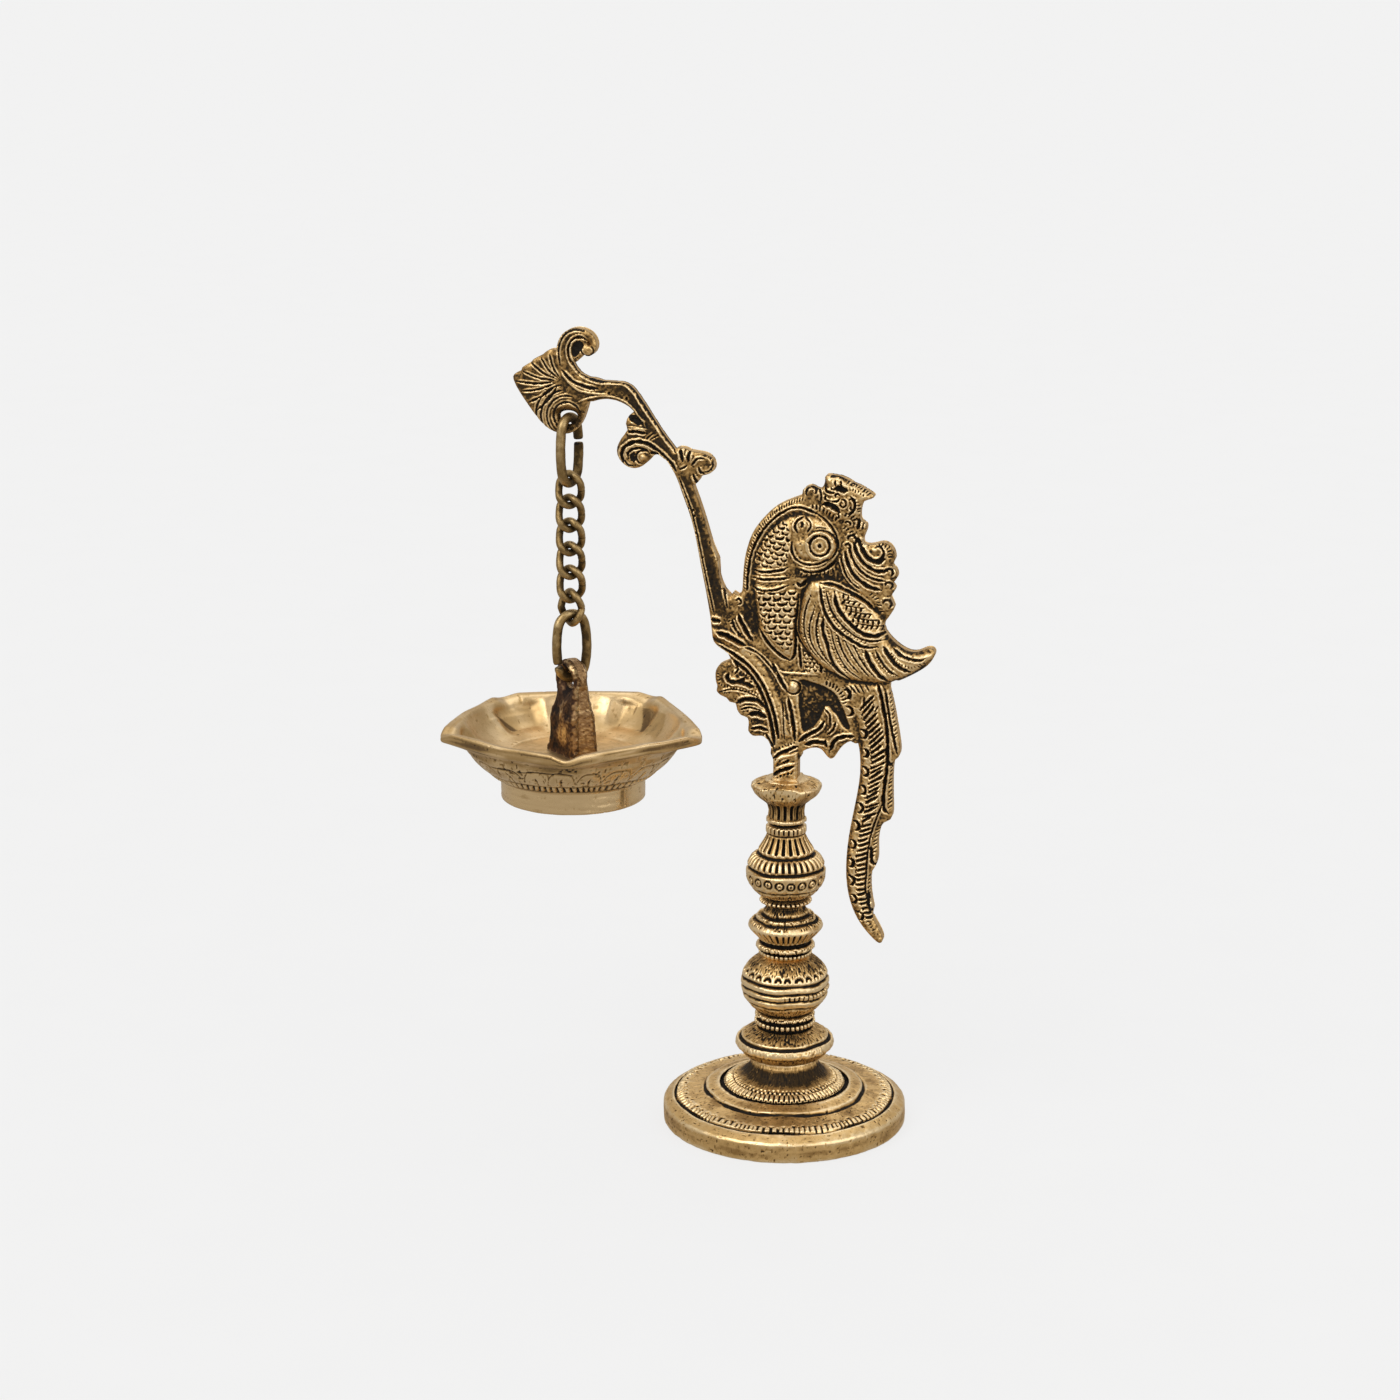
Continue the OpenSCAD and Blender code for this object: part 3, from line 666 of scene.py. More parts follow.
# Arm: the fan leaf round the eyelet, with a rib to each of its points
for point in [(-60.4, 199.4), (-62.6, 198.2), (-65.2, 196.8), (-67.6, 194.6), (-69.4, 192), (-68.2, 189.4),
              (-66.2, 186.6), (-64.2, 184.4)]:
    root = np.array([-57.4, 192.2])
    way = np.array(point) - root
    side = np.array([-way[1], way[0]]) / np.linalg.norm(way)
    bend = 0.5 * side
    branch.stroke([root + 0.14 * way, root + 0.55 * way + bend, root + 0.97 * way], 0.5, 0.5, 0.55)
for r, start, end in [(3.6, 20, 250), (5.2, 70, 235), (6.7, 95, 215), (8, 100, 190)]:
    branch.stroke(arc(*EYELET, r, start, end), 0.5, 0.35, 0.8)
branch.swell(arc(*EYELET, 3.5, 0, 345), 2.75, 0.8)
# Arm: the scroll
branch.strokes([
    ([(-57.6, 196.4), (-58, 199.4), (-57.6, 202), (-56.2, 204.2), (-53.8, 205.3), (-51.4, 205)], 0.5, 0.4,
     0.6),
    ([(-50.4, 202.6), (-51.6, 203.4), (-53.2, 203.6), (-54.8, 202.4), (-55.5, 200.2), (-54.9, 197.4),
     (-52.9, 194.8), (-50.2, 193.2), (-47, 192.5), (-43.8, 192.6), (-41, 192.2), (-39, 190.6),
     (-36.8, 187.4), (-33.6, 182.8), (-30.6, 178.6), (-28.2, 175.4)], 0.5, 0.5, 0.9, 0.06),
    ([(-54.2, 202.2), (-54.9, 200.2), (-54.3, 197.6), (-52.6, 195.4)], 0.5, -0.5),
    (arc(-50.4, 200.4, 1.9, 150, 420, 1.1), 0.4, 0.4, 0.6),
    ([(-57.2, 195.2), (-54.6, 192.6), (-51, 191.2), (-48, 190.8)], 0.7, 0.5, 0.7),
    ([(-56.6, 193.2), (-53, 190.4), (-48.6, 189.6), (-45, 189.6)], 0.6, -0.4),
    ([(-53.4, 187.2), (-50, 188.5), (-45.4, 189.1), (-41.4, 188), (-38.8, 185.9), (-35.8, 181.6)], 0.5,
     -0.45),
])
# Arm: the flat face between its two ridges
branch.strokes([
    ([(-27.4, 169.2), (-26.1, 166), (-24.6, 162.2), (-23.2, 157), (-21.7, 150), (-19.8, 141),
     (-18.5, 135.2)], 0.45, 0.45, 0.9, 0.06),
    ([(-23.6, 169.2), (-22.4, 166), (-21.1, 161.8), (-19, 153.8), (-17, 147.2), (-15.9, 141), (-15, 136.6)],
     0.45, 0.45, 0.9, 0.06),
])
branch.shade([(-50, 192), (-41.6, 191.4), (-38.6, 188.6), (-33.6, 180.8), (-29.4, 175), (-27.4, 170.6),
    (-30, 172.6), (-34.4, 178.6), (-39, 186.4), (-42, 189)], -0.1)
branch.shade([(-27, 169.6), (-24.4, 168), (-21.4, 158), (-18.4, 147), (-15.8, 137), (-18, 136), (-21, 148),
    (-24, 160)], -0.14)
for at in [(-23.9, 160.8), (-23.6, 159.4), (-23.1, 155), (-25.2, 161.2), (-45.2, 189.6), (-40.8, 188.4)]:
    branch.stroke([at, (at[0] + 0.1, at[1] + 0.5)], 0.7, 0.7, 0.1)

# Left volute and its leaf
branch.strokes([
    ([(-41.6, 172.6), (-42, 174.6), (-41.2, 176.4), (-39.4, 177.6), (-37.2, 177.9), (-35, 177.4),
     (-32.8, 175.9), (-31, 174.4), (-29.4, 172.8), (-28.2, 170.9)], 0.8, 0.65, 0.7, 0.05),
    ([(-41.4, 173.2), (-40.4, 171.9), (-39, 171.7)], 0.5, 0.5),
    ([(-40.2, 173.4), (-40.4, 174.8), (-39.3, 175.9), (-37.4, 176.3), (-35.8, 175.9), (-34.8, 175)], 0.55,
     0.5, 0.7),
    (arc(-36.6, 174, 1.7, 60, 260), 0.5, 0.5, 0.5),
    ([(-34.6, 175.2), (-33.4, 175.2), (-32.6, 174.8)], 0.9, 0.7),
    ([(-40.8, 180.3), (-38.2, 180.4), (-35.6, 180.1)], 0.7, 0.6, 0.8),
    ([(-40.6, 181.6), (-37.6, 181.4), (-35, 180.9)], 0.4, -0.4),
    ([(-39.8, 183.4), (-37.7, 183.2), (-36.4, 182)], 0.8, 0.6, 0.5),
    ([(-35.8, 178.5), (-34.8, 179.4), (-33.8, 180.2)], 0.5, 0.4),
    ([(-34.6, 178.6), (-33.6, 179.2), (-32.6, 179.7)], 0.4, 0.4),
])
branch.sink([(-40, 174.4), (-38.8, 175.2), (-38.2, 174.2), (-38.4, 173), (-39.6, 173)], 0.2, 0.2)
branch.swell(arc(-36.6, 174, 1.4, 0, 330), 3.0, 1.4)
# Right volute and its ribs
branch.strokes([
    ([(-27.1, 176.2), (-26.7, 174.8), (-26.5, 173.4)], 0.9, 0.6, 0.7),
    ([(-24.7, 175.9), (-25, 174.6), (-25.1, 173.4)], 0.8, 0.6, 0.7),
    ([(-26, 176.2), (-25.9, 174.6)], 0.35, 0.3),
    ([(-24.2, 172.4), (-23, 173.9), (-21.8, 174.3), (-20.8, 174.1)], 0.55, 0.5, 0.8),
    (arc(-20.9, 172.6, 2.3, 100, -110, 1.7), 0.4, 0.3, 0.6),
    ([(-22.4, 172.2), (-22, 171), (-20.9, 170.3)], 0.6, 0.5),
    ([(-27.2, 171.4), (-26.2, 171.7), (-25.4, 172.3)], 0.5, 0.5),
    ([(-23.7, 170.2), (-23.2, 168.8), (-22.7, 167.4)], 0.7, 0.6),
])

# Bird: the roped border down its back, and the groove inside it
branch.stroke([(7.6, 161.6), (10, 159.8), (12, 157.2), (12.9, 154.4), (12.9, 152.4)], 0.5, 0.6, 0.3)
border = [(-10, 141.2), (-9.8, 145.6), (-9.2, 149.6), (-7.9, 153.4), (-6, 156.8), (-3.6, 159.6), (-1, 161.6),
    (1.6, 162.8), (4.4, 162.8), (7.4, 161.6)]
branch.stroke(border, 0.6, 0.8, 0.4, 0.04)
back = [(-10.6, 141.4), (-10.3, 146), (-9.6, 150), (-8.3, 154), (-6.3, 157.6), (-3.9, 160.6), (-1.2, 162.7),
    (1.6, 164.2), (4, 165)]
branch.ticks(back, 0.72, 1.2, 62, 0.34, 0.3)
branch.ticks([(6, 163.4), (8.4, 163), (10.6, 161.8), (13, 160.2)], 0.95, 1.3, 100, 0.5, 0.5, lip=0.8)
# Head: eye, cheek, beak and the mark above
branch.strokes([
    (arc(8.6, 153.6, 4.1, 105, -70), 0.42, 0.5, 0.5),
    ([(1.5, 154.4), (1.6, 152), (3, 149.9), (5.6, 148.9), (8.6, 149.3), (10.8, 150.6)], 0.6, 0.65, 0.5),
    ([(3.6, 148.2), (6.4, 147.5), (9.4, 148.2), (11.8, 150.2), (13.3, 152.8)], 0.6, -0.45),
    ([(3.4, 147.5), (6.4, 146.8), (9.6, 147.5), (12.4, 149.8)], 0.7, 0.75, 0.3),
    ([(4.3, 160.7), (2.9, 159.8), (2.3, 158.4), (2.9, 156.9)], 0.6, 0.6, 0.8),
    ([(4.9, 160.5), (6, 159.6), (6.2, 158.4), (5.4, 157)], 0.5, 0.5, 0.8),
    ([(4.1, 159.5), (4.1, 158.2)], 0.8, 0.5, 0.6),
    ([(7.4, 158.1), (8.8, 158.3), (10.2, 157.9)], 0.4, 0.4),
])
branch.stroke(arc(*EYE, 2.5, 0, 345), 0.6, 0.8, 0.35, closed=True)
branch.swell(arc(*EYE, 2.15, 0, 330), 4.35, 1.2)
branch.stroke(arc(*EYE, 0.25, 0, 300, count=5), 0.6, 0.7, 0.1, closed=True)
branch.stroke(arc(*EYE, 3.35, 0, 345), 0.55, -0.45, closed=True)
branch.ticks([(3.6, 146.4), (7, 145.9), (10.6, 146.8), (13.6, 148.6)], 1.1, 1.1, 70, 0.45, 0.5)
branch.shade([(3, 150.6), (8, 150.4), (9, 157), (8, 161), (1.6, 160.6), (2, 155)], 0.1)
# Neck and breast
branch.strokes([
    ([(-8.4, 146.7), (-5, 146.5), (-1, 147.2), (0.6, 147.9)], 0.6, 0.7, 0.6),
    ([(-8.8, 144.7), (-5, 144.6), (-1.4, 144.9), (1, 145.3)], 0.6, 0.7, 0.6),
    ([(-8.4, 142.3), (-5.8, 141.6), (-2.4, 142.1), (0.8, 143.4)], 0.6, 0.7, 0.6),
    ([(-6.6, 131.6), (-5, 128.8), (-2.8, 126.3), (-0.6, 124.6), (1, 123.8)], 0.75, 0.8, 0.4, 0.2),
    ([(1.2, 123.9), (2.2, 125.4), (2.5, 128.6), (2.4, 132.6)], 0.6, 0.8, 0.4, 0.1),
    ([(3.3, 141.4), (2.9, 137), (2.5, 132.6), (3.4, 129.4), (5.2, 127)], 0.5, 0.6, 0.4),
    ([(3, 144.2), (3.8, 143.2), (5, 144.6)], 0.7, 0.7, 0.4),
])
branch.scales([(-7.8, 148), (-1.4, 147.8), (0.8, 150), (1, 154), (1.4, 156.6), (-0.6, 159.6), (-4.4, 156.6),
    (-7, 152.6)], 2.3, 1.3, 0.42, -10)
branch.ticks([(-7.6, 143.4), (-4, 143), (0, 144)], 1.2, 1, 20, 0.3, 0.3)
branch.scales([(-7.2, 141.2), (-2, 141.4), (2.6, 142.4), (3, 138), (2.4, 132), (1.6, 127.4), (0, 126.6),
    (-3.6, 129), (-6, 133), (-6.8, 137)], 2.6, 1.45, 0.46, 3)

# Wing: shoulder, double border and long feathers
branch.strokes([
    ([(8.6, 144.2), (12, 143.9), (16, 142.2), (20, 140), (22.8, 137.4)], 0.7, 0.8, 0.4),
    ([(8.7, 143.6), (9.3, 140), (10.3, 136.6), (12.8, 133), (16.2, 130.5), (20.2, 128.6), (23.6, 128.8)],
     0.75, 0.75, 0.6),
    ([(10.2, 143), (10.9, 139.8), (12.2, 136.6), (14.6, 133.7), (17.8, 131.3), (21.2, 130.2),
     (25.6, 130.6)], 0.5, 0.5, 0.8),
    ([(12.4, 142.4), (12.9, 139.4), (14.4, 136.6), (16.9, 134), (19.4, 132.2), (22.4, 131.5), (26, 132.4)],
     0.9, 0.85, 0.7),
])
for row, z in enumerate(np.arange(133.6, 142, 1.5)):
    left = 14.2 + 0.62 * max(0, 139 - z)
    right = 25 - 1.15 * max(0, z - 134)
    if right - left > 1:
        branch.ticks([(left, z + 0.3), (right, z - 0.3)], 1.25, 1.35, 62 + 30 * (row % 2), 0.52, 0.8, step=2)
        branch.stroke([(left, z + 1), ((left + right) / 2, z + 0.5), (right, z + 0.3)], 0.35, 0.45, 0.4)
feathers = [
    ([(6.4, 141), (5, 136.6), (4.9, 131.6), (6.4, 127.6), (9, 124.6)], 0.4),
    ([(7.6, 138.4), (6.3, 133.6), (6.6, 129.4), (8.8, 125.8), (12, 122.8)], 0.4),
    ([(8.6, 137), (7.9, 132.6), (8.7, 128.2), (10.9, 124.6), (14.4, 121.4)], 0.45),
    ([(9.7, 136), (9.6, 132.4), (10.7, 128.8), (11.6, 125.6), (13.2, 122.6), (16.4, 120)], 0.8),
    ([(11.6, 132.6), (12.6, 128.6), (14.2, 125), (16.4, 122.2), (19.6, 120)], 0.4),
    ([(13.2, 131.6), (14.4, 127.8), (16.2, 124.6), (18.6, 122)], 0.45),
    ([(15, 130.4), (16.6, 127.2), (18.6, 124.2), (21.4, 121)], 0.4),
    ([(17, 129.4), (18.6, 126.4), (20.6, 123.4), (23.2, 120.6)], 0.4),
    ([(20.4, 127.8), (21.4, 125.2), (23, 122.6), (25.8, 120)], 1.0),
    ([(22.9, 127.9), (24.2, 125.4), (26.2, 123), (28.6, 121.4)], 0.6),
    ([(24.9, 128.8), (26.8, 126), (29.4, 123.6), (31.6, 122.6)], 0.9),
    ([(27, 128.6), (29, 126.8), (31.6, 125.9), (34, 125.8), (35.6, 126.4)], 0.7),
]
for line, width in feathers:
    branch.stroke(line, width, 0.35 + 0.45 * width, 0.5)
for line in [
    [(6.6, 141.4), (5, 137), (4.4, 132), (5.6, 127.6)], [(7.9, 139.6), (6.6, 135), (6, 131), (7.6, 127)],
    [(9, 138), (8.2, 133), (9, 128), (12, 123.6)], [(10.6, 133.6), (11.8, 129), (13.6, 125), (16, 121.6)],
    [(12.6, 132.4), (14, 128.4), (16, 124.6)], [(14.6, 131), (16.4, 127.4), (18.4, 124)],
    [(16.8, 130), (18.6, 126.8), (20.6, 123.6)], [(19, 129), (20.6, 126), (22.4, 122.6)],
]:
    branch.ticks(line, 0.85, 0.85, 38, 0.28, 0.34)
branch.tick_rows([
    ([(9.6, 143.4), (10.2, 139.8), (11.6, 136.4), (14, 133.4), (17.4, 130.9), (21, 129.4)], 0.95, 0.8, 75,
     0.3, 0.35),
    ([(23, 126.4), (25.2, 123.2), (28, 121.4)], 0.8, 0.8, 110, 0.3, 0.35),
    ([(26.6, 127.4), (28.6, 125), (32, 123.8), (35, 125)], 0.8, 0.9, 110, 0.3, 0.35),
    ([(11, 142.4), (11.8, 139), (13.4, 136), (16, 133.2), (20, 131)], 1.5, 0.5, 90, 0.25, 0.3),
])
branch.shade(WING, 0.05, 1)

# Bird: the long curled plumes behind the head
branch.stroke(arc(22.8, 152.8, 2.5, 200, 480, 1.0, 16), 0.6, 0.6, 0.7)
for line, width in [
    ([(13.6, 150.8), (14.6, 147.6), (16.2, 145), (18.6, 143)], 0.5),
    ([(14.6, 152.2), (15.8, 148.8), (17.8, 146), (20.6, 144), (24, 143)], 0.8),
    ([(15.6, 153.4), (16.8, 150.4), (18.8, 147.8), (21.6, 146), (25, 145.4)], 0.6),
    ([(16.8, 154.6), (18, 151.8), (20, 149.4), (22.6, 148), (25.6, 148)], 0.8),
    ([(17.8, 156), (18.9, 153.6), (20.6, 151.2), (22.8, 150.2), (24.8, 151)], 1.0),
]:
    branch.stroke(line, width, 0.75, 0.7, 0.1)
branch.swell(arc(22.3, 152.9, 0.9, 0, 330), 3.4, 0.9)
branch.ticks([(23.6, 154.4), (25.6, 153.4), (26.2, 151)], 0.8, 0.9, 80, 0.35, 0.4)
for x, z, r in [(25.6, 147.6, 1.3), (25.6, 144.3, 1.1), (25.2, 139.6, 1.4), (16.2, 155.4, 1.5),
                (15.2, 153.6, 0.9)]:
    branch.stroke(arc(x, z, r, -60, 190, 0.5 * r), 0.55, 0.6, 0.6)
branch.tick_rows([
    ([(14, 158.6), (16.6, 157), (18, 154)], 1.0, 1.2, 70, 0.4, 0.5),
    ([(21, 142), (23, 140.6), (24.4, 137)], 0.9, 1.2, 70, 0.35, 0.4),
])
# Crest and flag
branch.strokes([
    ([(9.6, 168.2), (10.2, 167.3), (12, 167)], 0.6, 0.7, 0.6),
    ([(12.2, 168.4), (13.6, 168.2), (15.2, 167.8)], 1.4, 0.9, 0.5),
    ([(12.1, 170.2), (12.2, 168.8)], 0.6, 0.6, 0.7),
    ([(13.4, 170.2), (13.8, 168.8), (15, 168)], 0.5, 0.6, 0.7),
    ([(10.6, 171), (12.6, 170.9), (14.2, 170.3)], 0.5, 0.6, 0.6),
    ([(9.7, 166.6), (9.8, 165.2), (12.6, 165), (13.4, 165.8)], 0.5, 0.6, 0.8),
    ([(9, 163.9), (10.6, 164.2), (12.4, 163.3), (13.2, 162.2)], 1.2, 0.95, 0.5),
    (arc(14, 164.4, 1.2, 100, -200, 0.5), 0.5, 0.6, 0.8),
    (arc(14.8, 164.2, 2.4, 60, -80), 0.6, 0.7, 0.8),
    (arc(6.4, 166.9, 1.7, 200, -60, 0.6, 14), 0.55, 0.5, 0.8),
    ([(7.6, 168), (8.6, 166.6), (8.4, 164.6)], 0.5, 0.5, 0.6),
    ([(17.9, 160.6), (18.1, 159.2), (17.6, 158.2)], 0.7, 0.8, 0.7),
    ([(19.2, 159.6), (19, 158.2)], 0.4, 0.5, 0.7),
])
branch.tick_rows([
    ([(15, 169.8), (18, 168.8), (20.8, 167)], 0.75, 1.5, 60, 0.35, 0.45),
    ([(15.6, 168.2), (17.6, 167.6), (19.6, 166.6)], 0.7, 0.9, 110, 0.35, 0.45),
    ([(15.8, 166), (17.8, 164.6), (18.2, 161.6)], 0.85, 1.2, 60, 0.4, 0.5),
    ([(14.4, 161.8), (16.4, 161.2), (17.4, 160)], 0.9, 1.3, 80, 0.45, 0.55),
])
for x, z, r, start in [(11.6, 168.6, 0.8, 40), (16.8, 168.9, 0.7, 200), (11.2, 163.6, 0.9, 120),
                       (16.6, 163.6, 0.8, 0), (12.6, 161.2, 0.7, 80), (15.4, 159.2, 0.8, 160),
                       (19, 168, 0.6, 90), (12.9, 166.4, 0.7, 220)]:
    branch.stroke(arc(x, z, r, start, start - 210, 0.6 * r), 0.45, 0.7, 0.6)

# The stalk: its base curl, ridges and the leaves on its left
branch.strokes([
    ([(-19.2, 133.1), (-18, 133.2), (-16.6, 133)], 1.0, 0.9, 0.5),
    ([(-17.8, 130.2), (-15, 129.5), (-12.6, 128.3), (-10.3, 127)], 1.0, 0.95, 0.9),
    ([(-12.9, 138.4), (-12, 139), (-11.5, 138), (-12.4, 137.4)], 0.5, 0.6, 0.7),
    ([(-12.2, 135), (-11.2, 132.8), (-9.8, 130.2), (-8.4, 128.4)], 0.9, 0.85, 0.9),
    ([(-13.8, 133.6), (-13, 131.2), (-11.4, 129.2)], 0.6, 0.6, 0.6),
    ([(-17.8, 126.9), (-13.6, 124.9), (-10.4, 122.8), (-7.6, 119.9), (-5.2, 116.2), (-3.6, 112.2),
     (-2.4, 108), (-1.8, 103.4)], 0.8, 0.85, 0.8, 0.05),
    ([(-14, 123.4), (-10.6, 120.9), (-7.8, 117.8), (-5.8, 114), (-4.2, 109.6), (-3.2, 105), (-2.8, 101.6)],
     0.9, 0.9, 0.5, 0.08),
    ([(-11, 126.8), (-7.4, 125.4), (-4.6, 122.8), (-2.2, 119.6), (-0.4, 116.4)], 0.5, 0.5, 0.8),
    ([(-3.4, 122.6), (-1.2, 118.6), (0.4, 115.6)], 0.8, 0.85, 0.7),
    ([(0.7, 114.2), (1.5, 110.6), (2.2, 106.4), (2.4, 103)], 0.8, 0.8, 0.8),
    ([(-0.8, 113), (-0.4, 108), (-0.2, 103.2)], 0.4, 0.4, 0.6),
    ([(-3, 121.4), (0, 120.6), (4, 120.6), (8, 120.4)], 0.7, -0.5),
    ([(3.3, 128), (3.7, 124.4), (3.9, 121.8)], 0.6, 0.7, 0.6),
    ([(8.8, 123.2), (9.2, 120.8)], 0.7, 0.8, 0.4),
    (arc(1.9, 116.8, 1.75, -150, 120), 0.45, 0.6, 0.3),
])
branch.ticks([(-14.8, 133.6), (-13.4, 131.6), (-11.6, 129.8)], 0.9, 0.8, 80, 0.4, 0.5)
branch.scales([(4.6, 126.4), (7.6, 124.2), (10.4, 121.6), (8.6, 120.8), (4.8, 121)], 1.3, 1.0, 0.4)
branch.swell(arc(1.9, 116.8, 1.5, 0, 330), 3.1, 1.2)
for line, width in [
    ([(-14.6, 119.6), (-15, 118.2), (-13.6, 117.4), (-11.4, 117.8), (-10.4, 118.8)], 0.9),
    ([(-15, 117.4), (-11.4, 117.4), (-8, 116.2)], 1.0),
    ([(-13, 122.6), (-12.2, 120.8), (-13.2, 119.4)], 0.5),
    ([(-12.8, 111.9), (-10.2, 113.1), (-7.2, 113), (-5.2, 111)], 1.0),
    ([(-11.8, 110.2), (-9, 111), (-6, 110.2)], 0.5),
    ([(-9.6, 109), (-7.4, 109.6), (-4.6, 108.6)], 1.1),
    ([(-8.8, 105.4), (-6.6, 105.9), (-4.4, 105.2)], 0.7),
    ([(-5, 104.4), (-4, 102.6), (-3.2, 100.6)], 0.7),
    ([(-17, 114.6), (-14, 115.4), (-10, 115), (-6.6, 113.6)], 0.4),
]:
    branch.stroke(line, width, 0.8, 0.8)
branch.tick_rows([
    ([(-17.4, 119.6), (-17, 116.8), (-14.4, 116), (-10, 115.4), (-7, 114.4)], 0.8, 0.7, 90, 0.35, 0.4),
    ([(-13, 121.4), (-11, 119.8), (-8, 118)], 0.8, 0.7, 60, 0.4, 0.5),
])
leaf_shade = [(-12.6, 121.8), (-11, 121.2), (-8.8, 118.4), (-6.8, 115.4), (-9.4, 116.4), (-12, 117.6),
    (-12.8, 119.4)]
branch.sink(leaf_shade, 0.04, 0.25)
branch.shade(leaf_shade, -0.1)
for x, z, r in [(-9.2, 112.2, 1.5), (-6.6, 108.2, 1.3)]:
    branch.shade(arc(x, z, r, 0, 330), -0.22)
for x, z, width in [(-16.2, 117.8, 2), (-15.4, 114.6, 2.4), (-12.4, 112.8, 1.6), (-9, 107.6, 1.2)]:
    branch.ticks([(x - width / 2, z), (x + width / 2, z - 0.2)], 0.6, 0.4, 90, 0.35, 0.45)
# The branchlet on the right
for line, width in [
    ([(3.6, 102.8), (6, 104.8), (8.6, 106.4), (10, 108.4)], 0.8),
    ([(5, 102), (8, 103), (10.4, 102.6)], 0.9),
    ([(11.6, 101), (12.6, 103.4), (14.6, 105)], 0.9),
    ([(13.4, 104.2), (15.6, 104.9), (17.6, 105)], 0.8),
    ([(10, 111.6), (11.4, 110.2), (11.4, 107.8)], 0.5),
    ([(12.8, 108.4), (12.2, 106.4), (10.8, 105)], 0.6),
    ([(10.6, 101.6), (10.2, 103.4)], 0.6),
]:
    branch.stroke(line, width, 0.75, 0.9)
# The vine that climbs round the tang
branch.strokes([
    ([(-3.3, 97.8), (-1.6, 99.3), (0.6, 100.3), (3.2, 101.5)], 0.7, 0.85, 0.5),
    ([(-3.3, 96.4), (-1.2, 98.3), (1.4, 99.3), (3.3, 100)], 0.9, -0.6),
    ([(-0.8, 96.9), (0.2, 97.5), (1.1, 97.9)], 0.6, 0.8, 0.4),
    ([(-2.6, 95.3), (0.2, 96.7), (3.2, 97.2)], 0.7, -0.5),
    ([(-3.2, 93.3), (-1.8, 94.6), (0.2, 95.6), (2.3, 96.3)], 0.85, 1.0, 0.5),
])
branch.tick_rows([
    ([(-2.4, 93), (0, 94), (2.6, 94.8)], 1.0, 0.8, 50, 0.5, 0.6),
    ([(-1.8, 100.7), (0.4, 101.6), (2.6, 102.4)], 0.8, 0.5, 90, 0.4, 0.5),
])

# Tail: the midline, curls down its left and barbs between
branch.stroke([(25.3, 117.6), (26.2, 112), (27.2, 106.8), (28.2, 102.4), (28.6, 100.6)], 0.6, 0.7, 0.6)
midline = [(23.6, 118.6), (25, 112.6), (26, 106), (26.2, 99.6), (25.6, 93), (25.2, 88), (23.8, 84.4),
    (22.3, 79.6), (21.5, 74.6), (21.2, 69.6), (21, 65), (21.8, 60.8), (22.6, 58.4)]
branch.stroke(midline[:6], 0.75, 0.95, 0.5, 0.03)
branch.stroke(midline[5:], 0.45, 0.55, 0.8, 0.03)
for tip in [(26.3, 99), (25.4, 86.6), (22.6, 72.4), (22, 60)]:
    branch.stroke([(tip[0] - 0.3, tip[1] + 4), tip, (tip[0] + 1.2, tip[1] - 1.4)], 0.85, 0.85, 0.4)
plume = smooth_line([(18.4, 112.6), (20.6, 106.4), (21.4, 100), (21.2, 94), (20.4, 88), (19.2, 81.6),
    (18.3, 75.4), (18, 69.6), (18.2, 64.6), (19.4, 60), (21, 56.4)], 0.2)
barbs, _ = spaced(plume, 1.3)
for share, (x, z) in zip(np.linspace(0, 1, len(barbs)), barbs):
    rise = math.radians(46 * (1 - share) ** 1.1 + 4 + draws.normal(0, 4))
    reach = (5.8 - 3.7 * share) * draws.uniform(0.75, 1.05)
    start = np.array([x + 0.4, z])
    branch.stroke([start, start + reach * np.array([math.cos(rise), math.sin(rise)])], 0.68, 0.9, 0.4, 0.2)
curls, _ = spaced(plume, 4.9)
for x, z in [(16.4, 115.6), (17, 111.2)] + [tuple(p) for p in curls[1:]]:
    branch.stroke(arc(x - 1.1, z, 1.3 * draws.uniform(0.85, 1.15), 105, -95, 1.0), 0.8, 1.05, 0.15, 0.3)
branch.ticks(plume[:-10], 1.5, 0.7, 30, 0.35, 0.5, offset=0.6)
branch.tick_rows([
    ([(15.6, 116.8), (17.4, 117.4), (21.4, 117.6)], 1.15, 2.6, -60, 0.45, 0.55),
    ([(10, 118.6), (12.4, 117.6), (14.4, 115.6), (15, 113.4)], 0.9, 1.4, 100, 0.45, 0.55),
    ([(19.6, 114.6), (22, 113.6), (23.6, 112.4)], 1.2, 2.4, -75, 0.42, 0.55),
])
for line in [[(26.4, 117), (27.4, 110.6), (28.2, 104.4)], [(27.4, 99), (27, 92), (26.9, 86)],
             [(24.6, 82.4), (23.4, 78), (22.9, 73.6)], [(22.4, 69), (21.9, 65), (22.2, 61)]]:
    branch.ticks(line, 1.05, 1.2, 128, 0.34, 0.4)
branch.ticks([(19.4, 59.4), (21.4, 56.4), (23.6, 53.4)], 0.9, 1.0, 90, 0.3, 0.35)
branch.pits(1500, 0.15, 0.4)

# The tang that stands in the cup, and the finished height of the face
tang = (np.abs(branch.x) < 3.2)[None, :] & (branch.z < 99.6)[:, None]
branch.body = np.where(tang, 3.2, branch.body)
branch.body = blur(branch.body, 0.22 / PITCH)
height = branch.body + branch.raised * (1 - fade(branch.cut_in, 0.05, 0.4)) - 1.15 * branch.cut_in
height += 0.08 * branch.lumps(1.8) + 0.07 * branch.lumps(0.7)
on_arm = 1 - fade(branch.x, -20, -12)[None, :]
skin = branch.lumps(0.42) * (1 - 0.75 * on_arm)
height += 0.055 * skin
worn = wear_of(height, PITCH, fine=0.3) + branch.tone - 0.85 * branch.cut_in - 0.01
worn += 0.1 * branch.lumps(5) + 0.1 * skin - 0.07 * on_arm - 0.04

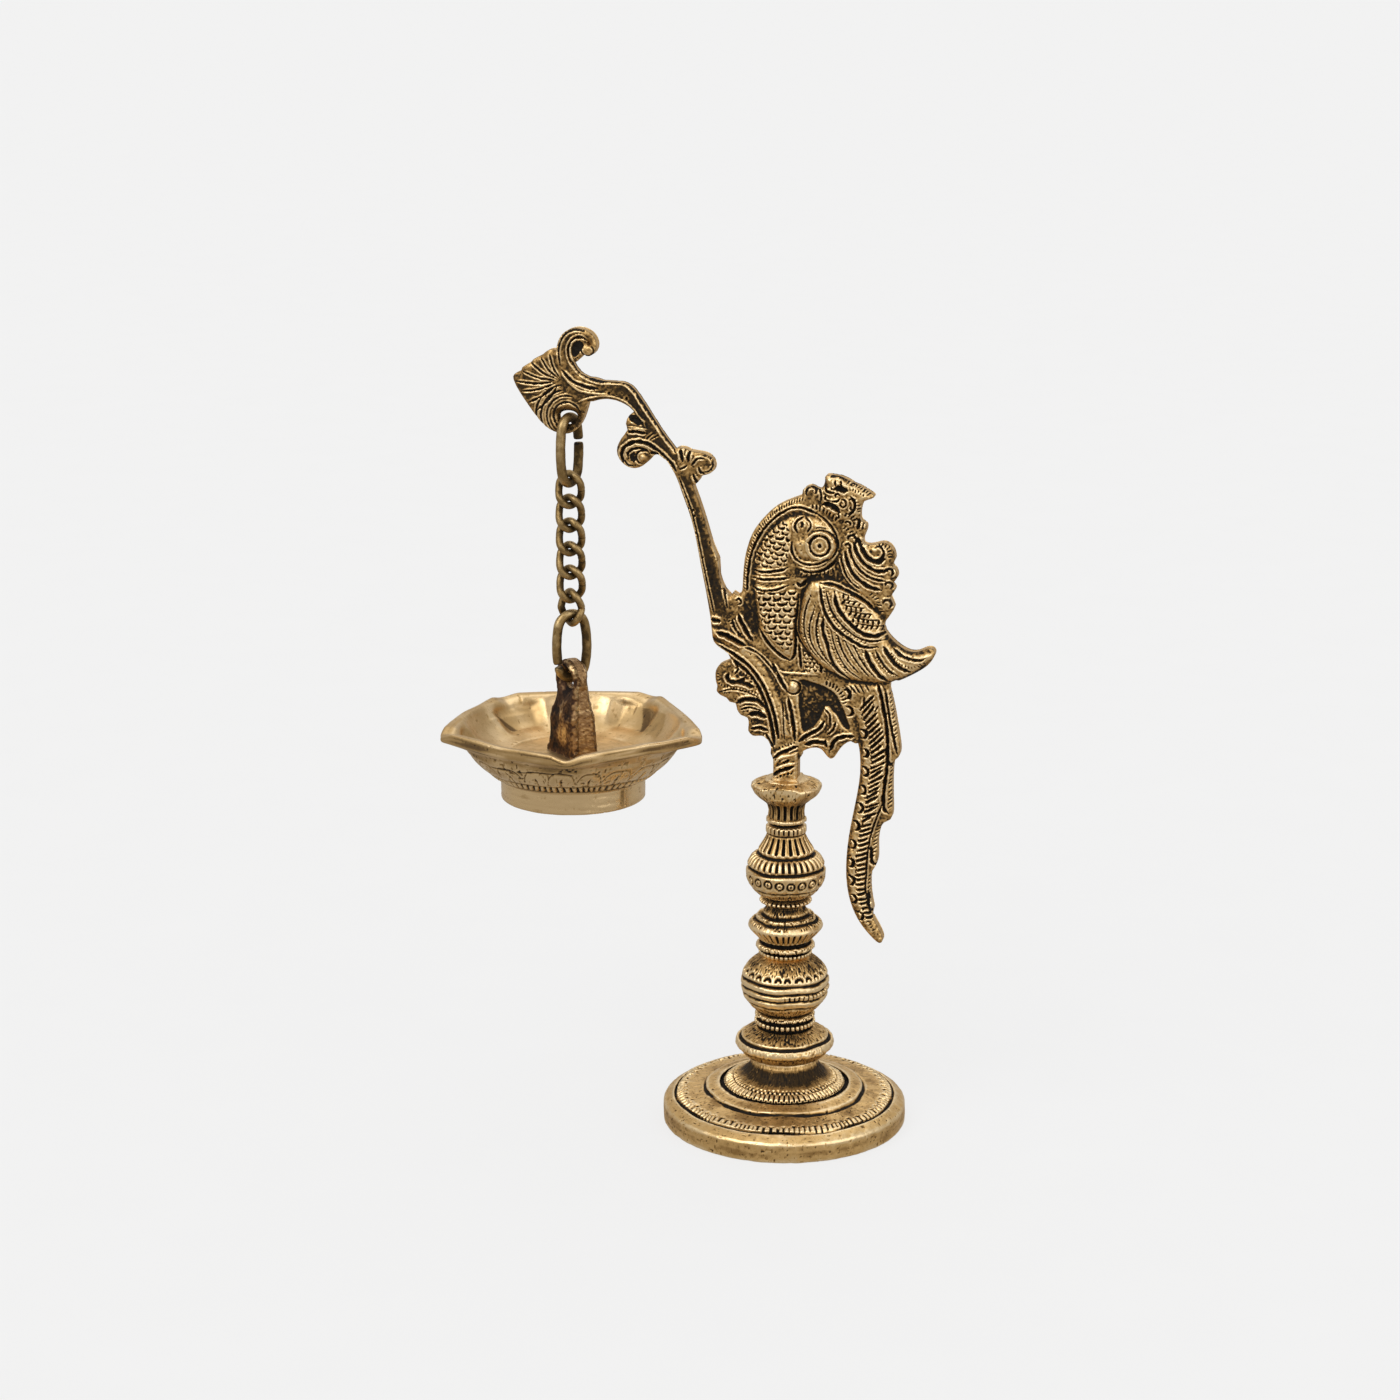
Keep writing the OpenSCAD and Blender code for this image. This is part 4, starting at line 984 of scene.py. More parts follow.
# The outline, with the eyelet drawn smaller above the ring's wire, and the edges rounded towards it
outline = [loop[:, [0, 2]] for loop in loops_at("branch_casting", (0, 0, 0), (0, 1, 0))]
for loop in outline:
    in_eyelet = np.hypot(loop[:, 0] - EYELET[0], loop[:, 1] - EYELET[1]) < 3
    above = np.maximum(loop[:, 1] - EYELET[1], 0) * in_eyelet
    loop[:, 1] -= (1 - EYELET_TOP) * above
edge = branch.edge_of(outline, 1.4, 1.2)
height -= 1.05 * rounding(edge)
over_eyelet = branch.z[:, None] - EYELET[1]
over_eyelet = np.where(over_eyelet > 0, over_eyelet / EYELET_TOP, over_eyelet)
from_eyelet = np.hypot(branch.x[None, :] - EYELET[0], over_eyelet)
height = np.minimum(height, np.where(from_eyelet < 4.6, 0.5 + (from_eyelet - 2.36) / 1.2, 9))
# Where the ring swings past, the face is rubbed flat
height = np.minimum(height, 2.36 + 3 * fade(from_eyelet, 6.5, 8))
height = np.clip(height, 0.4, 4.5)
# Painted shade darkens the metal round the eyelet's hole; the rounded edges are lighter from wear
worn = worn + 0.14 * (1 - edge) - 0.4 * (1 - fade(from_eyelet, 2.5, 3.4))
vertices, faces, wear = relief_mesh(outline, branch, height, worn, 0.225, 0.34, 1.5)
piece_from("Branch_relief", vertices, faces, "stand", "branch_casting", antique, wear)


# ---------------------------------------------------------------- turned pieces


def profile_of(runs, step):
    """One line through the runs, which meet at sharp edges. A run of more than two points is a curve."""
    parts = []
    for run in runs:
        points = smooth_line(run, 0.1) if len(run) > 2 else np.array(run, float)
        parts.append(even_line(points, step))
    return np.vstack(parts)


def section_line(*parts):
    """The parts of a section as one line, with no point twice."""
    line = np.vstack(parts)
    return line[np.r_[True, np.linalg.norm(np.diff(line, axis=0), axis=1) > 0.02]]


def turned(name, node, shown, hidden, columns, step, work, material=antique):
    """A turned piece of the stand, its section given as radius and height from the foot upwards.

    shown is the section's worked part and hidden closes it round the inside. work(theta, r, z) gives how far
    the skin is raised, how deep it is cut, and how much more worn it is; under the knop of the lower stem
    that last is painted shade.
    """
    line = section_line(profile_of(shown, step), profile_of(hidden, 4 * step))
    way = np.gradient(line, axis=0)
    out = np.stack([way[:, 1], -way[:, 0]], 1) / np.linalg.norm(way, axis=1)[:, None]
    eased = np.stack([blur(np.tile(line[:, k : k + 1], (1, 3)), 1.1 / step)[:, 0] for k in (0, 1)], 1)
    proud = ((line - eased) * out).sum(1)
    theta = np.linspace(0, 2 * math.pi, columns, endpoint=False)[None, :]
    r, z = line[:, :1] + 0 * theta, line[:, 1:] + 0 * theta
    soft = round_lumps(r.shape)
    uneven = theta + 0.035 * soft(26)
    raised, cut, tone = work(uneven, r, z)
    cut = cut * (1 + 0.3 * soft(7))
    raised = raised - cut + 0.05 * soft(1.2 / step)
    radius = np.maximum(r + raised * out[:, :1], 0.002)
    up = np.maximum(z + raised * out[:, 1:], line[:, 1].min())
    points = np.stack([radius * np.cos(theta), radius * np.sin(theta), up], 2)
    if node == "upper_stem":
        points = filed_front(points)
    worn = wear_of(raised, step, True) + 1.2 * proud[:, None] + tone - 0.6 * cut
    faces = grid_faces(len(line), columns)
    piece_from(name, points.reshape(-1, 3), faces, "stand", node, material, worn.ravel())


def ring_cut(where, at, width):
    """A groove round a turned piece, from 1 at its middle. where is each point's height or radius."""
    return 1 - fade(np.abs(where - at) / (width / 2), 0.3, 1.2)


def notches(theta, count, width, phase=0.0):
    """Cuts spaced evenly round a turned piece, each width wide as a share of its spacing."""
    turn = theta * count / (2 * math.pi) + phase
    return 1 - fade(np.abs(turn - np.round(turn)) / (width / 2), 0.4, 1.2)


def band(where, low, high, soft=0.15):
    """1 between low and high, with soft ends."""
    return fade(where, low - soft, low + soft) * (1 - fade(where, high - soft, high + soft))


def base_work(theta, r, z):
    """The base's two engraved bands, its grooves and its casting pits."""
    soft = round_lumps(r.shape)
    top = fade(z, 5.4, 6.4)
    wobble = 0.3 * soft(40)
    cut = 0.8 * ring_cut(r + 0.8 * wobble, 28.4, 0.7) * (0.7 + 0.5 * soft(26))
    cut += 0.7 * ring_cut(r + 1.6 * wobble, 20.8, 0.8) * (0.55 + 0.6 * soft(30))
    cut += 1.0 * ring_cut(r + 0.4 * wobble, 16.4, 0.8)
    patchy = 0.75 + 0.45 * soft(34)
    edge = 0.5 * soft(14)
    cut += 0.85 * band(r + edge, 26.2, 28) * notches(theta, 120, 0.42) * patchy
    cut += 0.8 * band(r + edge, 25.7, 26.4) * notches(theta, 60, 0.42, 0.5) * patchy
    cut += 0.8 * band(r + 0.5 * edge, 13.6, 15.9) * notches(theta, 72, 0.42)
    cut += 0.9 * band(r + 0.5 * edge, 12.5, 13.7) * notches(theta, 72, 0.62, 0.5) * patchy
    cut += 0.7 * band(r, 15.5, 16.2) * notches(theta, 72, 0.6, 0.5)
    pits = fade(soft(2.2), 0.62, 0.95)
    neck = fade(z, 12, 13.5) * (1 - fade(z, 17.4, 17.5))
    cut = cut * top + 0.3 * pits * (0.5 + 0.5 * soft(12))
    cut += 0.06 * neck * fade(soft(4), 0.1, 0.8) + 0.2 * band(z, 16.4, 17.6, 0.4)
    raised = 0.06 * soft(9) + 0.14 * wobble * band(r, 17, 26)
    tone = -0.14 * neck + 0.1 * band(r, 20, 33) + 0.06 * band(r, 16.8, 20.4)
    tone += 0.13 * soft(22) * (1 - 0.8 * neck) + 0.08 * soft(2, 10) * (1 - top)
    return raised, cut, tone


def lower_work(theta, r, z):
    """The knop's groove and stippled shoulder, the bead rings, the ball's grooves and punched row, and
    painted shade under the knop.
    """
    soft = round_lumps(r.shape)
    wobble = 0.3 * soft(50)
    grain = fade(soft(2.6), -0.1, 0.7)
    outside = fade(r, 2.6, 3.4)
    cut = 0.7 * ring_cut(z + 0.5 * wobble, 22.9, 0.75)
    cut += 0.2 * grain * band(z, 23.4, 26, 0.4) + 0.14 * grain * band(z, 18, 22.4, 0.5)
    cut += 0.7 * band(z, 26.2, 27.7) * notches(theta, 36, 0.44)
    cut += 0.45 * band(z, 28.2, 29.4) * grain + 0.6 * ring_cut(z, 28, 0.8) + 0.5 * ring_cut(z, 25.9, 0.9)
    for at, depth, width in [(39.4, 1, 1), (37.2, 0.95, 0.9), (35.2, 0.9, 0.85), (33, 0.5, 0.7)]:
        cut += depth * ring_cut(z + 1.3 * wobble, at, width) * (0.8 + 0.4 * soft(24))
    front_right = fade(np.cos(theta + math.radians(40)), 0.7, 0.85)
    cut += 0.6 * band(z, 35.5, 36.9) * notches(theta, 54, 0.4) * front_right
    turn = theta * 24 / (2 * math.pi)
    across = (turn - np.round(turn)) * 2 * math.pi * 11 / 24
    bow = np.hypot(across, z - 40.8 - 0.5 * wobble)
    cut += 0.9 * (1 - fade(np.abs(bow - 0.75), 0.18, 0.45)) * fade(z, 40.5, 41)
    cut += 0.22 * grain * band(z, 41.6, 44.6, 0.4) + 0.2 * grain * band(z, 29.8, 33, 0.4)
    tone = -0.12 * band(z, 24.4, 31, 0.6) - 0.14 * band(z, 42.2, 45.5, 0.5) + 0.1 * band(z, 32.5, 41.5, 1)
    # Painted shade darkens the stem under the knop, where it meets the base
    tone += 0.12 * band(z, 20.4, 22.6) - 0.2 * (1 - fade(z, 17.6, 19))
    tone += 0.1 * soft(12) + 0.12 * soft(28)
    return 0.07 * soft(6) * outside, cut * outside, tone


def upper_work(theta, r, z):
    """The rings, ticks, circles, hatching and flutes of the upper stem."""
    soft = round_lumps(r.shape)
    wobble = 0.25 * soft(50)
    outside = fade(r, 2.6, 3.4)
    grain = fade(soft(2.6), 0, 0.7)
    cut = 0.6 * band(z, 45.2, 46.6) * notches(theta, 34, 0.45) + 0.6 * ring_cut(z, 46.8, 0.7)
    cut += 0.5 * band(z, 47, 48.3) * grain + 0.7 * ring_cut(z, 48.9, 0.8)
    cut += 0.85 * band(z, 49.8, 52.6) * notches(theta, 34, 0.46) * (0.8 + 0.3 * soft(8))
    cut += 0.35 * ring_cut(z + 0.8 * wobble, 54.9, 0.6) + 0.8 * ring_cut(z + 0.5 * wobble, 56.4, 0.8)
    cut += 0.35 * grain * band(z, 54, 59) + 0.5 * ring_cut(z, 58.8, 0.6)
    cut += 0.65 * band(z, 59.2, 60.7) * notches(theta, 32, 0.48)
    cut += 0.8 * ring_cut(z, 61.2, 0.7) + 0.6 * ring_cut(z + wobble, 63.6, 0.6)
    cut += 0.2 * grain * band(z, 61.5, 64)
    turn = theta * 20 / (2 * math.pi)
    across = (turn - np.round(turn)) * 2 * math.pi * 10 / 20
    away = np.hypot(across, z - 66.3 - wobble)
    cut += 0.6 * (1 - fade(np.abs(away - 1.05), 0.14, 0.4)) + 0.7 * (1 - fade(away, 0.12, 0.38))
    cut += 1.1 * ring_cut(z + 0.8 * wobble, 68.9, 1.2)
    cut += 0.95 * band(z, 69.7, 72.2) * notches(theta, 34, 0.52)
    cut += 1.0 * ring_cut(z + 0.5 * wobble, 72.8, 1)
    cut += 1.0 * band(z, 73.7, 77.3, 0.4) * notches(theta, 21, 0.5)
    cut += 0.6 * band(z, 78.2, 79.8) * notches(theta, 25, 0.42) + 0.4 * ring_cut(z, 77.8, 0.5)
    cut += 0.9 * ring_cut(z, 80.5, 0.9)
    cut += 0.95 * band(z, 82.4, 86, 0.5) * notches(theta, 17, 0.5)
    tone = -0.1 * band(z, 56.6, 60.6, 0.5) - 0.12 * band(z, 46.9, 49.6, 0.4) + 0.08 * band(z, 63.8, 68.4)
    tone += 0.05 * fade(z, 86.8, 88) + 0.06 * band(z, 69.6, 72)
    tone += 0.1 * soft(12) + 0.12 * soft(28)
    cut += 0.3 * fade(soft(3), 0.3, 0.9) * fade(z, 86.5, 87.5)
    return 0.06 * soft(6) * outside, cut * outside, tone


def filed_front(points):
    """The flat filed on the front of the cup."""
    on_cup = points[:, :, 2] > 88.4
    flat = -7.6 + 0.06 * np.sin(points[:, :, 0] * 2.1)
    points[:, :, 1] = np.where(on_cup & (points[:, :, 1] < flat), flat, points[:, :, 1])
    return points


BASE_SHOWN = [
    [(30.8, 0), (31.2, 0.12), (31.5, 0.5)], [(31.5, 0.5), (31.5, 4.8)],
    [(31.5, 4.8), (31.2, 5.3)], [(31.2, 5.3), (30, 6.1), (28.6, 6.9)], [(28.6, 6.9), (28.2, 6.7), (28, 7.2)],
    [(28, 7.2), (26.8, 7.8)], [(26.8, 7.8), (25, 7.8), (23, 8), (20.9, 8.4), (20.6, 9)],
    [(20.6, 9), (16.8, 9.9)], [(16.8, 9.9), (16.4, 9.5), (16.1, 10.2)], [(16.1, 10.2), (13.4, 11.6)],
    [(13.4, 11.6), (12, 12), (10.4, 13), (9.2, 14.6), (8.7, 16.1), (8.4, 17.5)],
]
BASE_HIDDEN = [
    [(8.4, 17.5), (2.15, 17.5)], [(2.15, 17.5), (2.15, 8.5)], [(2.15, 8.5), (12, 8.5)],
    [(12, 8.5), (20, 5.2)], [(20, 5.2), (26, 4.6)], [(26, 4.6), (28.5, 2.6)],
    [(28.5, 2.6), (28.5, 0)], [(28.5, 0), (30.8, 0)],
]
turned("Base_turned", "base", BASE_SHOWN, BASE_HIDDEN, 660, 0.29, base_work)

LOWER_SHOWN = [
    [(8.4, 17.5), (10, 17.8), (11.2, 18.9), (11.9, 20)],
    [(11.9, 20), (12.6, 20.4), (12.8, 21.3), (12.5, 22.3)],
    [(12.5, 22.3), (11.9, 22.7)], [(11.9, 22.7), (11.2, 23.3), (9.4, 24.4), (7.6, 25.3), (6.4, 25.9)],
    [(6.4, 25.9), (7.6, 26.2), (7.9, 26.9), (7.6, 27.6), (6.2, 27.9)],
    [(6.2, 27.9), (7.4, 28.2), (7.8, 28.8), (7.4, 29.4), (6.4, 29.8)],
    [(6.4, 29.8), (7.4, 30.3), (9, 31.6), (10.6, 33.6), (11.3, 36), (11.4, 38.3), (10.6, 41.1), (8.3, 43.6),
     (6.6, 44.5), (5.4, 45)],
]
LOWER_HIDDEN = [[(5.4, 45), (2.15, 45)], [(2.15, 45), (2.15, 17.5)], [(2.15, 17.5), (8.4, 17.5)]]
turned("Lower_stem_turned", "lower_stem", LOWER_SHOWN, LOWER_HIDDEN, 480, 0.28, lower_work)

UPPER_SHOWN = [
    [(5.4, 45), (6.6, 45.3), (6.9, 45.9), (6.6, 46.5), (5.6, 46.7)],
    [(5.6, 46.7), (7.3, 46.9), (7.6, 47.6), (7.3, 48.3), (6, 48.7)],
    [(6, 48.7), (7.2, 50), (9.2, 52.2), (9.6, 53.3), (8.7, 54.5), (8, 54.6)],
    [(8, 54.6), (7.4, 55.9)], [(7.4, 55.9), (6.7, 56)], [(6.7, 56), (5.3, 57.5), (4.9, 58.4), (5.2, 59)],
    [(5.2, 59), (6, 59.2), (6.8, 59.9), (6, 60.6), (5.4, 60.8)],
    [(5.4, 60.8), (6.6, 61.3), (8.7, 63.3), (9.95, 65.5), (10.25, 68), (9.85, 70), (9, 71.5), (8, 72.2)],
    [(8, 72.2), (7.5, 73), (6.1, 75.2), (5.2, 76.8), (4.8, 77.8)],
    [(4.8, 77.8), (5.15, 78.1), (5.25, 79), (5.15, 79.8), (4.7, 80)], [(4.7, 80), (4.6, 80.9)],
    [(4.6, 80.9), (5.1, 81.1), (5.1, 81.9), (4.6, 82.1)],
    [(4.6, 82.1), (4.7, 82.6), (4.6, 84), (5, 85.7), (6.2, 86.9), (7.8, 88.2), (8.7, 89.4), (9, 90.6),
     (8.2, 91.2), (6, 91.9), (5, 92.3)],
    [(5, 92.3), (0.01, 92.3)],
]
UPPER_HIDDEN = [
    [(0.01, 92.3), (0.01, 70)], [(0.01, 70), (2.02, 70)], [(2.02, 70), (2.02, 45)],
    [(2.02, 45), (5.4, 45)],
]
turned("Upper_stem_turned", "upper_stem", UPPER_SHOWN, UPPER_HIDDEN, 400, 0.33, upper_work)


def braze_pieces():
    """The braze that ran out over the cup round the square tang."""
    columns = 96
    theta = np.linspace(0, 2 * math.pi, columns, endpoint=False)
    square = 1 / np.maximum(np.abs(np.cos(theta)), np.abs(np.sin(theta)))
    rows = [(5.8, 91.9), (5.5, 92.2), (5, 92.36), (4.4, 92.44), (3.9, 92.6), (3.6, 93), (3, 93.1), (3, 91.8)]
    rings = []
    for k, (r, z) in enumerate(rows):
        squared = np.clip((5.8 - r) / 2, 0, 1)
        ripple = 0.16 * np.sin(5 * theta + 1) + 0.1 * np.sin(11 * theta + k)
        radius = r * (1 + squared * (0.93 * square - 1)) + ripple * (1 - squared)
        up = z + (0.1 * np.sin(7 * theta + 2 * k) if 0 < k < 6 else 0 * theta)
        rings.append(np.stack([radius * np.cos(theta), radius * np.sin(theta), up], 1))
    worn = np.full(len(rows) * columns, 0.82)
    piece_from("Cup_braze", np.vstack(rings), grid_faces(len(rows), columns), "stand", "upper_stem",
               antique, worn)


braze_pieces()


# ---------------------------------------------------------------- the stud, its nut and its washer


def stud_work(theta, r, z):
    """A thread cut along the stud's lower end, and a plain shank above it."""
    turn = z / 0.8 - theta / (2 * math.pi)
    saw = np.abs(turn - np.round(turn)) * 2
    threaded = fade(r, 1.2, 1.7) * (1 - fade(z, 13, 14)) * fade(z, 3.3, 3.9)
    return 0 * r, 0.24 * saw * threaded, 0.05 + 0 * r


def washer_work(theta, r, z):
    """Turning marks on the washer's faces."""
    marks = 0.03 * np.sin(r * 7) * fade(r, 2.4, 2.8)
    return marks, 0 * r, 0.05 * lumps(r.shape, 6, True)


def nut_work(theta, r, z):
    """Draws the round blank in to six flats, and leaves the chamfers round."""
    flat = 3.5 / np.cos((theta + math.pi / 6) % (math.pi / 3) - math.pi / 6)
    drawn_in = np.where(r > 3, np.minimum(flat - r, 0), 0) * fade(r, 3, 3.4)
    return drawn_in, 0 * r, 0.06 * lumps(r.shape, 5, True)


turned("Stud_threaded", "tie_stud", [
    [(0.01, 3.2), (1.6, 3.2)], [(1.6, 3.2), (2, 3.6)], [(2, 3.6), (2, 14)],
], [[(2, 14), (2, 67.7)], [(2, 67.7), (1.7, 68)], [(1.7, 68), (0.01, 68)], [(0.01, 68), (0.01, 3.2)]],
    72, 0.12, stud_work, plain)
turned("Washer_turned", "base_washer", [
    [(2.15, 7.5), (4.8, 7.5)], [(4.8, 7.5), (5, 7.7)], [(5, 7.7), (5, 8.3)], [(5, 8.3), (4.8, 8.5)],
], [[(4.8, 8.5), (2.15, 8.5)], [(2.15, 8.5), (2.15, 7.5)]], 96, 0.15, washer_work, plain)
turned("Nut_hexagon", "base_nut", [
    [(2, 4.5), (2.2, 4.3)], [(2.2, 4.3), (3.5, 4.3)], [(3.5, 4.3), (4.04, 4.7)], [(4.04, 4.7), (4.04, 7.1)],
    [(4.04, 7.1), (3.5, 7.5)], [(3.5, 7.5), (2.2, 7.5)],
], [[(2.2, 7.5), (2, 7.3)], [(2, 7.3), (2, 4.5)]], 120, 0.15, nut_work, plain)


# ---------------------------------------------------------------- the rings and the chain

CHAIN_X = -56
RING_WIRE = 2.5
RING_W = 11
RING_H = 19.2
LINK_WIRE = 1.95
LINK_W = 7.6
LINK_PITCH = 6.1
PLAY = 0.16
LINK_H = LINK_PITCH + 2 * LINK_WIRE + PLAY
RING_TOP_Z = EYELET[1] - 2.3 + 0.5 + RING_WIRE / 2
HOOK_GAP = (RING_WIRE + LINK_WIRE) / 2 + PLAY
FIRST_LINK_Z = RING_TOP_Z - (RING_H - RING_WIRE) + HOOK_GAP - (LINK_H - LINK_WIRE) / 2
LOW_RING_TOP_Z = FIRST_LINK_Z - 5 * LINK_PITCH - (LINK_H - LINK_WIRE) / 2 + HOOK_GAP


def wire_tube(line, flats, radius, sides, closed, dents):
    """Points, faces and wear of a round wire bent along a line. flats is the wire's side direction there.

    The wear is lowest inside the bend, where the grime stays, and highest outside it.
    """
    ahead = np.roll(line, -1, 0) - np.roll(line, 1, 0)
    if not closed:
        ahead[0], ahead[-1] = line[1] - line[0], line[-1] - line[-2]
    along = ahead / np.linalg.norm(ahead, axis=1)[:, None]
    across = flats - (flats * along).sum(1)[:, None] * along
    across /= np.linalg.norm(across, axis=1)[:, None]
    out = np.cross(along, across)
    outward = out * np.sign((out * (line - line.mean(0))).sum(1))[:, None]
    angle = 2 * math.pi * np.arange(sides) / sides
    skin = lumps((len(line), sides), 5, True)
    r = np.minimum(radius * (1 + dents[:, None]) - 0.03 + 0.035 * skin, radius - 0.01)
    spread = np.cos(angle)[:, None] * out[:, None, :] + np.sin(angle)[:, None] * across[:, None, :]
    points = line[:, None, :] + r[:, :, None] * spread
    facing = (spread * outward[:, None, :]).sum(2)
    worn = 0.5 + 0.2 * facing + 0.1 * skin + 0.08 * lumps(skin.shape, 14, True) + 2 * dents[:, None]
    count = len(line) * sides
    faces = [(b, a, d, c) for a, b, c, d in grid_faces(len(line), sides, closed)]
    points = points.reshape(-1, 3)
    worn = worn.ravel()
    if not closed:
        inner = line[[0, -1]] + along[[0, -1]] * np.array([[-0.1], [0.1]])
        points = np.vstack([points, inner])
        worn = np.r_[worn, 0.7, 0.7]
        last = count - sides
        faces += [(count, k, (k + 1) % sides) for k in range(sides)]
        faces += [(count + 1, last + (k + 1) % sides, last + k) for k in range(sides)]
    return points, faces, worn


def on_chain(points, yaw, up):
    """Points turned about the vertical by yaw degrees, and moved to a height on the chain's line."""
    a = math.radians(yaw)
    x, y, z = points.T
    across = x * math.cos(a) - y * math.sin(a)
    return np.stack([across + CHAIN_X, x * math.sin(a) + y * math.cos(a), z + up], 1)


def ring_line(half_w, half_h, end_r, spacing):
    """An oval ring's middle line: two end arcs and two flatter side arcs, from its right side upwards."""
    end_z = half_h - end_r
    side_r = (end_z**2 + half_w**2 - end_r**2) / (2 * (half_w - end_r))
    lean = math.asin(end_z / (side_r - end_r))
    a = np.linspace(0, lean, int(side_r * lean / spacing))[:-1]
    b = np.linspace(lean, math.pi / 2, int(end_r * (math.pi / 2 - lean) / spacing))
    x = np.r_[half_w - side_r + side_r * np.cos(a), end_r * np.cos(b)]
    z = np.r_[side_r * np.sin(a), end_z + end_r * np.sin(b)]
    x, z = np.r_[x, -x[-2::-1]], np.r_[z, z[-2::-1]]
    return np.r_[x, x[-2:0:-1]], np.r_[z, -z[-2:0:-1]]


def ring_piece(name, node, top_z, yaw, cut_side, cut_down, cut_gap=0.9):
    """An oval ring of wire whose ends meet in a sawn gap."""
    half_h = (RING_H - RING_WIRE) / 2
    x, z = ring_line((RING_W - RING_WIRE) / 2, half_h, 3.8, 0.2)
    below = half_h - z
    in_gap = (np.sign(x) == cut_side) & (below < cut_down) & (below > cut_down - cut_gap)
    start = next(k for k in range(len(x)) if in_gap[k - 1] and not in_gap[k])
    keep = [k % len(x) for k in range(start, start + len(x)) if not in_gap[k % len(x)]]
    line = np.stack([x[keep], np.zeros(len(keep)), z[keep]], 1)
    flats = np.tile([0.0, 1.0, 0.0], (len(line), 1))
    end = np.minimum(np.arange(len(line)), np.arange(len(line))[::-1])
    dents = -0.1 * np.exp(-((end / 1.2) ** 2)) + 0.012 * np.sin(np.arange(len(line)) * 0.35)
    points, faces, worn = wire_tube(line, flats, RING_WIRE / 2, 40, False, dents)
    piece_from(name, on_chain(points, yaw, top_z - half_h), faces, node, node, wire, worn)


def link_piece(number):
    """A curb link: wire bent to an oval and twisted. The lowest link's two bows lie the same way."""
    half_w = (LINK_W - LINK_WIRE) / 2
    half_h = (LINK_H - LINK_WIRE) / 2
    side = half_h - half_w
    turn = np.linspace(0, math.pi, 60)
    up = np.linspace(side, -side, 20)[1:-1]
    bow, flat = half_w * np.cos(turn), np.full(len(up), half_w)
    x = np.r_[bow, -flat, -bow, flat]
    z = np.r_[side + half_w * np.sin(turn), up, -side - half_w * np.sin(turn), -up]
    share = z / half_h
    last = number == 6
    twist = np.radians(-45 * (np.abs(share) if last else share))
    line = np.stack([x * np.cos(twist), x * np.sin(twist), z], 1)
    flats = np.stack([-np.sin(twist), np.cos(twist), 0 * twist], 1)
    seam = np.abs(np.arange(len(x)) - (len(x) - 9)) * 0.3
    ripple = draws.uniform(-0.01, 0.01) * np.cos(np.arange(len(x)) * 0.3)
    dents = ripple - 0.14 * np.exp(-((seam / 0.25) ** 2))
    points, faces, worn = wire_tube(line, flats, LINK_WIRE / 2, 32, True, dents)
    points = on_chain(points, -8 if last else 10, FIRST_LINK_Z - (number - 1) * LINK_PITCH)
    node = f"chain_link_{number}"
    piece_from(f"Wire_link_{number}", points, faces, f"link_{number}", node, wire, worn)


ring_piece("Top_oval_ring", "top_ring", RING_TOP_Z, 72, 1, 7)
for number in range(1, 7):
    link_piece(number)
ring_piece("Bottom_oval_ring", "bottom_ring", LOW_RING_TOP_Z, 40, -1, 13.6)


# ---------------------------------------------------------------- the bowl and its lug

LUG_HOLE_Z = LOW_RING_TOP_Z - (RING_H - RING_WIRE) + RING_WIRE / 2 + 0.5 - 2.3
RIM_Z = LUG_HOLE_Z - 10.9
FLOOR_Z = RIM_Z - 8.6
BOWL_H = 19.8
FOOT_Z = RIM_Z - BOWL_H
FOOT_R = 18.6
FIRST_CORNER = -78.3
STREAK_AT = 5.7
CORNER_EASE = 2.4
LUG_YAW = -45
LUG_PITCH = 0.14
LUG_WALL_ROWS = 8
# Painted dark reflections and shadow lines on the walls inside: bearing, half-width in degrees, and how dark
DARK_REFLECTIONS_AND_SHADOWS = [(57, 13, 0.2), (158, 2.4, 0.24), (66, 3, 0.08), (226, 3, 0.12)]


def rim_r(theta):
    """Radius of the five-cornered rim in a direction."""
    from_corner = np.abs((np.degrees(theta) - FIRST_CORNER + 3636) % 72 - 36)
    eased = np.sqrt(from_corner**2 + CORNER_EASE**2)
    side = 0.85 * math.cos(math.radians(36)) / np.cos(np.radians(36 - eased)) + 0.15
    return 35.8 * side, from_corner


# Each station of the bowl's section is the radius of its round share, the share of the rim's outline,
# the inset from that outline, and the height
BOWL_OUTSIDE = [
    [(FOOT_R - 2.6, 0, 0, FOOT_Z), (FOOT_R - 0.2, 0, 0, FOOT_Z)],
    [(FOOT_R - 0.2, 0, 0, FOOT_Z), (FOOT_R, 0, 0, FOOT_Z + 0.2)],
    [(FOOT_R, 0, 0, FOOT_Z + 0.2), (FOOT_R, 0, 0, FOOT_Z + 5.6)],
    [(FOOT_R, 0, 0, FOOT_Z + 5.6), (20.2, 0, 0, FOOT_Z + 6), (22.8, 0, 0, FOOT_Z + 8.2),
     (25.2, 0, 0, FOOT_Z + 10.4), (27.2, 0, 0, FOOT_Z + 13), (27.8, 0.1, 1, FOOT_Z + 15)],
    [(27.8, 0.1, 1, FOOT_Z + 15), (28, 0.55, 1, RIM_Z - 3.9), (28, 1, 0.8, RIM_Z - 3)],
    [(28, 1, 0.8, RIM_Z - 3), (28, 1, 0.2, RIM_Z - 2.8), (28, 1, 0, RIM_Z - 2.4)],
    [(28, 1, 0, RIM_Z - 2.4), (28, 1, 0, RIM_Z - 0.5)],
    [(28, 1, 0, RIM_Z - 0.5), (28, 1, 0.15, RIM_Z - 0.15), (28, 1, 0.6, RIM_Z)],
    [(28, 1, 0.6, RIM_Z), (28, 1, 2, RIM_Z - 0.15)],
]
